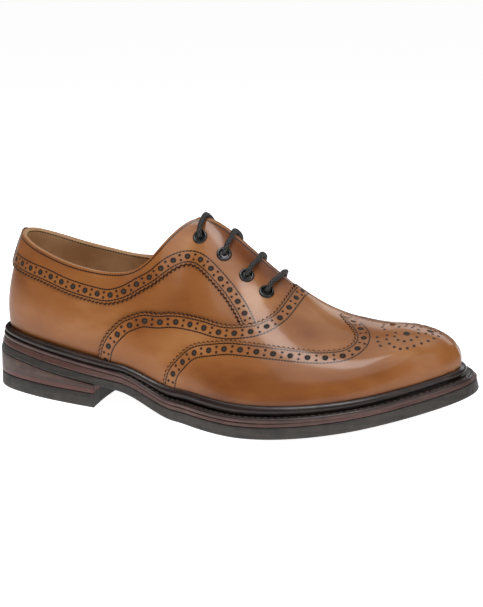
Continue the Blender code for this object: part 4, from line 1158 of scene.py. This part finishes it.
class SHOE_OT_inside(bpy.types.Operator):
    """Tongue and insole"""
    bl_idname = "shoe.inside"
    bl_label = "Tongue and insole"

    def execute(self, context):
        a, across = np.meshgrid(np.linspace(TONGUE_FOOT, TONGUE_HEAD, 40), np.linspace(-1.0, 1.0, 33),
                                indexing="ij")
        height = np.minimum(1.0 - TONGUE_SIDES * np.abs(across), TONGUE_HIGH)
        side = np.where(across > 0.0, 1.0, -1.0)
        left, right = (lifted(around, s * a, height, -(WALL + TONGUE_DROP)) for s in (1.0, -1.0))
        arch = np.where(side[..., None] > 0, left, right)
        middle = 0.5 * (left[:, 16] + right[:, 16])
        near = np.clip(np.abs(across) / 0.2, 0.0, 1.0)[..., None]
        crown = middle[:, None] + np.array([0.0, 0.0, TONGUE_CROWN])
        arch = crown * (1 - near) ** 2 + arch * (1 - (1 - near) ** 2)
        flesh = np.concatenate([arch, (arch - np.array([0.0, 0.0, TONGUE_THICK]))[:, ::-1],
                                arch[:, :1]], axis=1)
        tongue = mesh_piece("Tongue", flesh, plain_leather("Tongue Leather", TONGUE, TONGUE_DARK, 0.45))
        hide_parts("tongue")

        around_a = ring_places(110)
        foot = rib_controls(around_a)[0][:, :2] - outward_plan(around_a) * (PANEL_SINK + WALL + 2 * GAP)
        low = welt_top(foot[:, 0]) + GAP
        middle = np.column_stack([foot[:, 0], 0.5 * (foot[:, 1] + foot[::-1, 1])])
        shares = [(1.0, 0.0), (1.0, INSOLE_THICK - 0.0004), (0.985, INSOLE_THICK), (0.7, INSOLE_THICK),
                  (0.35, INSOLE_THICK), (0.0, INSOLE_THICK)]
        rows = [np.column_stack([middle + (foot - middle) * s, low + z]) for s, z in shares]
        bed = mesh_piece("Insole", np.array(rows),
                         plain_leather("Insole Leather", INSOLE, INSOLE_DARK, 0.58), flip=True)
        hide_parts("insole")
        return {"FINISHED"}


class SHOE_OT_welt(bpy.types.Operator):
    """The welt with its raised bead, groove, ledge and stitches"""
    bl_idname = "shoe.welt"
    bl_label = "Welt"

    def execute(self, context):
        a = ring_places(300)
        out = np.column_stack([outward_plan(a), np.zeros(len(a))])
        foot = rib_controls(a)[0]
        base = np.column_stack([foot[:, :2], welt_top(foot[:, 0])])
        reach = ledge(foot[:, 0])[:, None]
        clear = CAP_THICK + GAP
        calm = 1.0 - BEAD_CALM * np.exp(-(a / CALM_REACH) ** 2)
        low = lifted(around, a, np.zeros(len(a)), clear)
        high = lifted(around, a, BEAD_TOP * calm, clear)
        low[:, 2] = base[:, 2]
        rows = [high + (low - high) * share + out * width * calm[:, None] for share, width in BEAD_ROWS]
        groove = low + out * GROOVE_OUT + np.array([0.0, 0.0, -0.0001])
        ledge_in = np.maximum(reach - 0.0040, ((groove - base) * out).sum(1, keepdims=True) + 0.0004)
        rows.append(groove)
        rows.append(base + out * ledge_in + np.array([0.0, 0.0, 0.0003]))
        for inset, z in LEDGE_ROWS:
            rows.append(base + out * (reach - inset) + np.array([0.0, 0.0, z]))
        rows.append(base - out * WELT_INSIDE + np.array([0.0, 0.0, -WELT_THICK + 0.0001]))
        side_rows = np.arange(len(rows)) >= len(rows) - 4
        welt = mesh_piece("Welt", np.array(rows), layered_edge(
            "Dark Welt", WELT, WELT_DARK, 0.34, coat=0.30, fineness=(60.0, 60.0, 300.0), depth=0.00005,
            toned=WELT_SIDE),
            tone=np.repeat(side_rows.astype(float)[:, None], len(a), 1), flip=True)
        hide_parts("welt")

        fine = ring_places(1500)
        line_foot = rib_controls(fine)[0]
        line_out = outward_plan(fine)
        inset = ledge(line_foot[:, 0]) - STITCH_INSET
        line = np.column_stack([line_foot[:, :2] + line_out * inset[:, None],
                                welt_top(line_foot[:, 0]) + 0.00045])
        run = ring_run(line)
        pitch = context.scene.shoe_looks.welt_stitch
        count = int(run[-1] / pitch)
        starts = np.arange(count) * run[-1] / count
        length = STITCH_SHOWN * run[-1] / count
        along = starts[:, None] + np.linspace(0.0, length, 7)[None]
        centre = np.stack([np.interp(along, run, line[:, k]) for k in range(3)], -1)
        way = unit(np.gradient(centre, axis=1))
        up = np.broadcast_to(np.array([0.0, 0.0, 1.0]), way.shape)
        over_way = unit(np.cross(up, way))
        lift = np.cross(way, over_way)
        girth = STITCH_GIRTH * np.sqrt(np.clip(1 - np.linspace(-1, 1, 7) ** 2, 0.0, 1.0))[None, :, None, None]
        turns = np.linspace(0.0, 2 * np.pi, 9)
        ring = hoop(turns, STITCH_SPREAD * over_way[:, :, None], lift[:, :, None])
        points = centre[:, :, None] + girth * ring
        thread = raw_piece("Welt Stitches", points.reshape(-1, 3), grid_faces(*points.shape[:3]),
                           plain_leather("Welt Thread", WELT_THREAD, WELT_THREAD_DARK, 0.55, scale=700.0))
        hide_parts("welt")
        return {"FINISHED"}


def rounded_side(low_plan, high_plan, low, high, rounding):
    """Rows up a layer's side, rounded at both edges; each plan takes how far in it lies."""
    def edge(plan_at, level, way):
        plans = [(plan_at(inset * rounding), way * rise * rounding) for inset, rise in ROUND_STEPS]
        return [np.column_stack([plan, level(plan[:, 0]) + lift]) for plan, lift in plans]

    return edge(low_plan, low, 1.0) + edge(high_plan, high, -1.0)[::-1]


def sole_layer(name, low, high, low_reach, high_reach, rounding, shade):
    """A sole layer: its rounded side, then its under and upper faces drawn in to a middle line."""
    a = ring_places(300)
    out = outward_plan(a)
    foot = rib_controls(a)[0][:, :2]
    rows = rounded_side(lambda inset: foot + out * (low_reach(foot[:, 0]) - inset)[:, None],
                        lambda inset: foot + out * (high_reach(foot[:, 0]) - inset)[:, None],
                        low, high, rounding)
    between = [rows[2] + (rows[3] - rows[2]) * t for t in (0.2, 0.4, 0.6, 0.8)]
    rows = rows[:3] + between + rows[3:]
    for face, surface in ((0, low), (-1, high)):
        ring = rows[face]
        middle = np.column_stack([ring[:, 0], 0.5 * (ring[:, 1] + ring[::-1, 1])])
        inner = []
        for t in (0.75, 0.4, 0.0):
            plan = middle + (ring[:, :2] - middle) * t
            inner.append(np.column_stack([plan, surface(plan[:, 0])]))
        rows = inner[::-1] + rows if face == 0 else rows + inner
    return mesh_piece(name, np.array(rows), shade)


def heel_plan(extra, count=90):
    """The heel's outline in plan: the sole's edge behind the breast, then the breast's hollow line."""
    fine = np.linspace(0.0, 0.5, 1500)

    def edge(at):
        foot = rib_controls(at)[0][:, :2]
        return foot + outward_plan(at) * (ledge(foot[:, 0]) + extra)[:, None]

    ends = [float(np.interp(BREAST_X, edge(s * fine)[:, 0], fine)) for s in (-1.0, 1.0)]
    back = edge(np.linspace(-ends[0], ends[1], count))
    share = np.linspace(0.0, 1.0, 33)[1:-1, None]
    breast = back[-1] + (back[0] - back[-1]) * share
    breast[:, 0] -= BREAST_HOLLOW * (4 * share * (1 - share))[:, 0]
    plan = np.concatenate([back, breast])
    return np.concatenate([plan, plan[:1]])


def heel_piece(name, low, high, extra_low, extra_high, rounding, shade):
    """A heel layer with rounded edges; low and high are heights by x, and both faces are flat."""
    rows = rounded_side(lambda inset: heel_plan(extra_low - inset),
                        lambda inset: heel_plan(extra_high - inset), low, high, rounding)
    for face in (0, -1):
        ring = rows[face]
        middle = ring[:-1].mean(0)
        inner = [middle + (ring - middle) * t for t in (0.6, 0.0)]
        rows = inner[::-1] + rows if face == 0 else rows + inner
    return mesh_piece(name, np.array(rows), shade)


class SHOE_OT_sole(bpy.types.Operator):
    """Midsole, rubber sole, heel lift and top piece"""
    bl_idname = "shoe.sole"
    bl_label = "Sole and heel"

    def execute(self, context):
        rubber = layered_edge("Sole Rubber", RUBBER, RUBBER_DARK, 0.5, fineness=(14.0, 14.0, 420.0),
                              depth=0.00012)
        middle = layered_edge("Midsole Edge", MIDSOLE, MIDSOLE_DARK, 0.42, coat=0.15)
        strip_top = TOP_PIECE + STRIP_HIGH
        lift = layered_edge("Heel Leather", HEEL, HEEL_DARK, 0.42, coat=0.1,
                            strips=((TOP_PIECE, strip_top, HEEL_STRIP),
                                    (strip_top, strip_top + LINE_HIGH, HEEL_LINE)))

        def midway(x):
            return ledge(x) + 0.5 * flare(x)

        def whole(x):
            return ledge(x) + flare(x)

        outsole = sole_layer("Outsole", sole_bottom, lambda x: rubber_top(x) - GAP / 2, whole, midway,
                             0.0006, rubber)
        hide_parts("outsole")
        mid = sole_layer("Midsole", lambda x: rubber_top(x) + GAP / 2, lambda x: midsole_top(x) - GAP / 2,
                         midway, ledge, 0.0004, middle)
        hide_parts("midsole")
        block = heel_piece("Heel Lift", lambda x: TOP_PIECE + GAP + 0.0 * x, lambda x: sole_bottom(x) - GAP,
                           LIFT_FLARE, HEEL_FLARE, 0.0003, lift)
        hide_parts("heel_lift")
        top_piece = heel_piece("Heel Top Piece", lambda x: 0.0 * x, lambda x: TOP_PIECE + 0.0 * x,
                               TOP_PIECE_FLARE, LIFT_FLARE, 0.0006, rubber)
        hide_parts("heel_top_piece")
        return {"FINISHED"}


class SHOE_OT_eyelets(bpy.types.Operator):
    """Black metal eyelets with rolled rims, each barrel closed by a black floor as painted shade"""
    bl_idname = "shoe.eyelets"
    bl_label = "Eyelets"

    def execute(self, context):
        metal = black_metal()
        turns = np.linspace(0.0, 2 * np.pi, 49)
        # the last rows close the barrel with a flat black floor: painted shade down the eyelet's hole
        # share of the eyelet's radius, share of its height
        profile = [(1.02, -0.10), (1.03, 0.25), (1.00, 0.60), (0.93, 0.90), (0.84, 1.05), (0.74, 0.98),
                   (0.66, 0.72), (0.61, 0.40), (0.59, 0.12), (0.55, 0.08), (0.30, 0.06), (0.0, 0.06)]
        for node, along, height in eyelet_places():
            centre, normal, toward = facing_top(along, height)
            cross = np.cross(normal, toward)
            rings = [centre + normal * (rise * EYELET_HEIGHT + 0.0001)
                     + radius * EYELET_RADIUS * hoop(turns, toward, cross) for radius, rise in profile]
            piece = mesh_piece(node.replace("_", " ").title(), np.array(rings), metal, flip=True)
            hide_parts(node)
        return {"FINISHED"}


def lace_line(along, height, samples=70):
    """The middle line of one bar of lace, out of one eyelet and over the crest into the other."""
    sides = []
    for start, rise in ((along, height), (-along, inner_height(along, height))):
        centre, normal, toward = facing_top(start, rise)
        line = [centre + toward * ahead + normal * up for ahead, up in LACE_RISE]
        spot, normal, _ = facing_top(start, rise + LACE_SHARE * (1.0 - rise))
        line.append(spot + normal * (LACE_RADIUS + 0.0006))
        sides.append(line)
    ends = [facing_top(s * along, 0.998)[0] for s in (1.0, -1.0)]
    crown = 0.5 * (ends[0] + ends[1])
    crown[2] = max(ends[0][2], ends[1][2]) + LACE_RADIUS + 0.0004
    bends = np.array(sides[0] + [crown] + sides[1][::-1])
    run = ring_run(bends)
    return curve_through(run, bends, np.linspace(0.0, run[-1], samples))


class SHOE_OT_laces(bpy.types.Operator):
    """Braided lace bars from eyelet to eyelet"""
    bl_idname = "shoe.laces"
    bl_label = "Laces"

    def execute(self, context):
        cord = braid()
        for number, (along, height) in enumerate(EYELETS, start=1):
            line = lace_line(along, height)
            ahead = unit(np.gradient(line, axis=0))
            ref = np.array([1.0, 0.0, 0.35])
            one = unit(ref - (ahead @ ref)[:, None] * ahead)
            two = np.cross(ahead, one)
            turns = np.linspace(0.0, 2 * np.pi, 25)
            ends = np.clip(np.minimum(np.arange(len(line)), np.arange(len(line))[::-1]) / 1.5, 0.02, 1.0)
            radius = LACE_RADIUS * ends[:, None, None]
            tube = line[:, None] + radius * hoop(turns, one[:, None], two[:, None])
            run = ring_run(line)
            maps = np.stack(np.broadcast_arrays(run[:, None], (turns / (2 * np.pi))[None]), -1)
            piece = mesh_piece(f"Lace {number}", tube, cord, band=maps)
            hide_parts(f"lace_{number}")
        return {"FINISHED"}


FLOOR_REACH = 40.0
CAMERA_AIM = Vector((0.0, 0.0, 0.05))
LENS_SHIFT = 0.0383
# Name, share of the key power, size, place and aim of each light
LIGHTS = [
    ("Key", 0.5, (1.0, 0.55), (0.25, -0.60, 0.95), (0.02, 0.0, 0.05)),
    ("Overhead", 0.7, (0.50, 0.26), (0.0, -0.28, 1.0), (0.02, 0.0, 0.05)),
    ("Top", 0.6, (1.4, 0.7), (-0.1, 0.25, 1.05), (0.0, 0.0, 0.05)),
    ("Back", 0.5, (1.3, 0.40), (0.0, 1.0, 0.52), (0.02, 0.0, 0.05)),
    ("Side", 0.25, (0.35, 0.9), (0.95, -0.35, 0.45), (0.05, 0.0, 0.06)),
]


def light(name, energy, size, place, aim):
    """A white soft box at a place, turned to its aim."""
    data = bpy.data.lights.new(name, "AREA")
    data.energy = energy
    data.shape = "RECTANGLE"
    data.size, data.size_y = size
    made = bpy.data.objects.new(name, data)
    bpy.context.scene.collection.objects.link(made)
    made.location = place
    way = Vector(aim) - Vector(place)
    made.rotation_euler = way.to_track_quat("-Z", "Y").to_euler()
    return made


class SHOE_OT_stage(bpy.types.Operator):
    """Pale floor, soft lights and the camera"""
    bl_idname = "shoe.stage"
    bl_label = "Stage"

    def execute(self, context):
        looks = context.scene.shoe_stage
        scene = context.scene
        floor_mesh = bpy.data.meshes.new("Floor")
        corners = [(x * FLOOR_REACH, y * FLOOR_REACH, 0) for x, y in ((-1, -1), (1, -1), (1, 1), (-1, 1))]
        floor_mesh.from_pydata(corners, [], [(0, 1, 2, 3)])
        floor = bpy.data.objects.new("Floor", floor_mesh)
        scene.collection.objects.link(floor)
        pale, w, principled = shader("Pale Floor", 0.75, specular=0.2)
        principled.inputs["Base Color"].default_value = (0.90, 0.90, 0.905, 1)
        principled.inputs["Emission Color"].default_value = (1.0, 1.0, 1.0, 1)
        mirrored = w.node("ShaderNodeLightPath").outputs["Is Glossy Ray"]
        w.put(principled.inputs["Emission Strength"], w.math("MULTIPLY_ADD", mirrored, -0.60, 0.95))
        floor_mesh.materials.append(pale)

        world = bpy.data.worlds.new("Studio")
        world.use_nodes = True
        sky = Wires(world.node_tree)
        mirrored = sky.node("ShaderNodeLightPath").outputs["Is Glossy Ray"]
        strength = sky.math("MULTIPLY_ADD", mirrored, -0.55, 0.75)
        sky.put(world.node_tree.nodes["Background"].inputs["Strength"], strength)
        scene.world = world
        scene.view_settings.view_transform = "Standard"
        lights = [light(name, share * looks.key_power, *rest) for name, share, *rest in LIGHTS]

        turn, height = looks.turn, looks.height
        back = Vector((np.sin(turn) * np.cos(height), -np.cos(turn) * np.cos(height), np.sin(height)))
        data = bpy.data.cameras.new("Camera")
        data.sensor_fit = "HORIZONTAL"
        data.sensor_width = 36.0
        data.lens = looks.lens
        data.shift_x, data.shift_y = LENS_SHIFT, LENS_SHIFT
        data.clip_start = 0.01
        camera = bpy.data.objects.new("Camera", data)
        scene.collection.objects.link(camera)
        camera.location = CAMERA_AIM + back * looks.distance
        facing = (-back).to_track_quat("-Z", "Y").to_matrix().to_4x4()
        camera.rotation_euler = (facing @ Matrix.Rotation(looks.roll, 4, "Z")).to_euler()
        scene.camera = camera
        return {"FINISHED"}


class SHOE_PT_panel(bpy.types.Panel):
    """The shoe's pieces and sizes"""
    bl_idname = "SHOE_PT_panel"
    bl_label = "Brogue Shoe"
    bl_space_type = "VIEW_3D"
    bl_region_type = "UI"
    bl_category = "Shoe"

    def draw(self, context):
        for settings in (context.scene.shoe_looks, context.scene.shoe_stage):
            for name in settings.bl_rna.properties.keys():
                if name not in ("rna_type", "name"):
                    self.layout.prop(settings, name)
        for operator in OPERATORS:
            self.layout.operator(operator.bl_idname)


OPERATORS = (SHOE_OT_quarters, SHOE_OT_panels, SHOE_OT_ornament, SHOE_OT_inside, SHOE_OT_welt,
             SHOE_OT_sole, SHOE_OT_eyelets, SHOE_OT_laces, SHOE_OT_stage)
CLASSES = (ShoeLooks, ShoeStage) + OPERATORS + (SHOE_PT_panel,)


def register():
    """Adds the sizes, operators and panel to Blender."""
    for kind in CLASSES:
        bpy.utils.register_class(kind)
    bpy.types.Scene.shoe_looks = bpy.props.PointerProperty(type=ShoeLooks)
    bpy.types.Scene.shoe_stage = bpy.props.PointerProperty(type=ShoeStage)


def unregister():
    """Takes them out again."""
    del bpy.types.Scene.shoe_looks
    del bpy.types.Scene.shoe_stage
    for kind in reversed(CLASSES):
        bpy.utils.unregister_class(kind)


def main():
    """Registers the add-on and builds every piece."""
    register()
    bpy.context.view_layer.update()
    for operator in OPERATORS:
        group_name, name = operator.bl_idname.split(".")
        getattr(getattr(bpy.ops, group_name), name)()


if __name__ == "__main__":
    main()
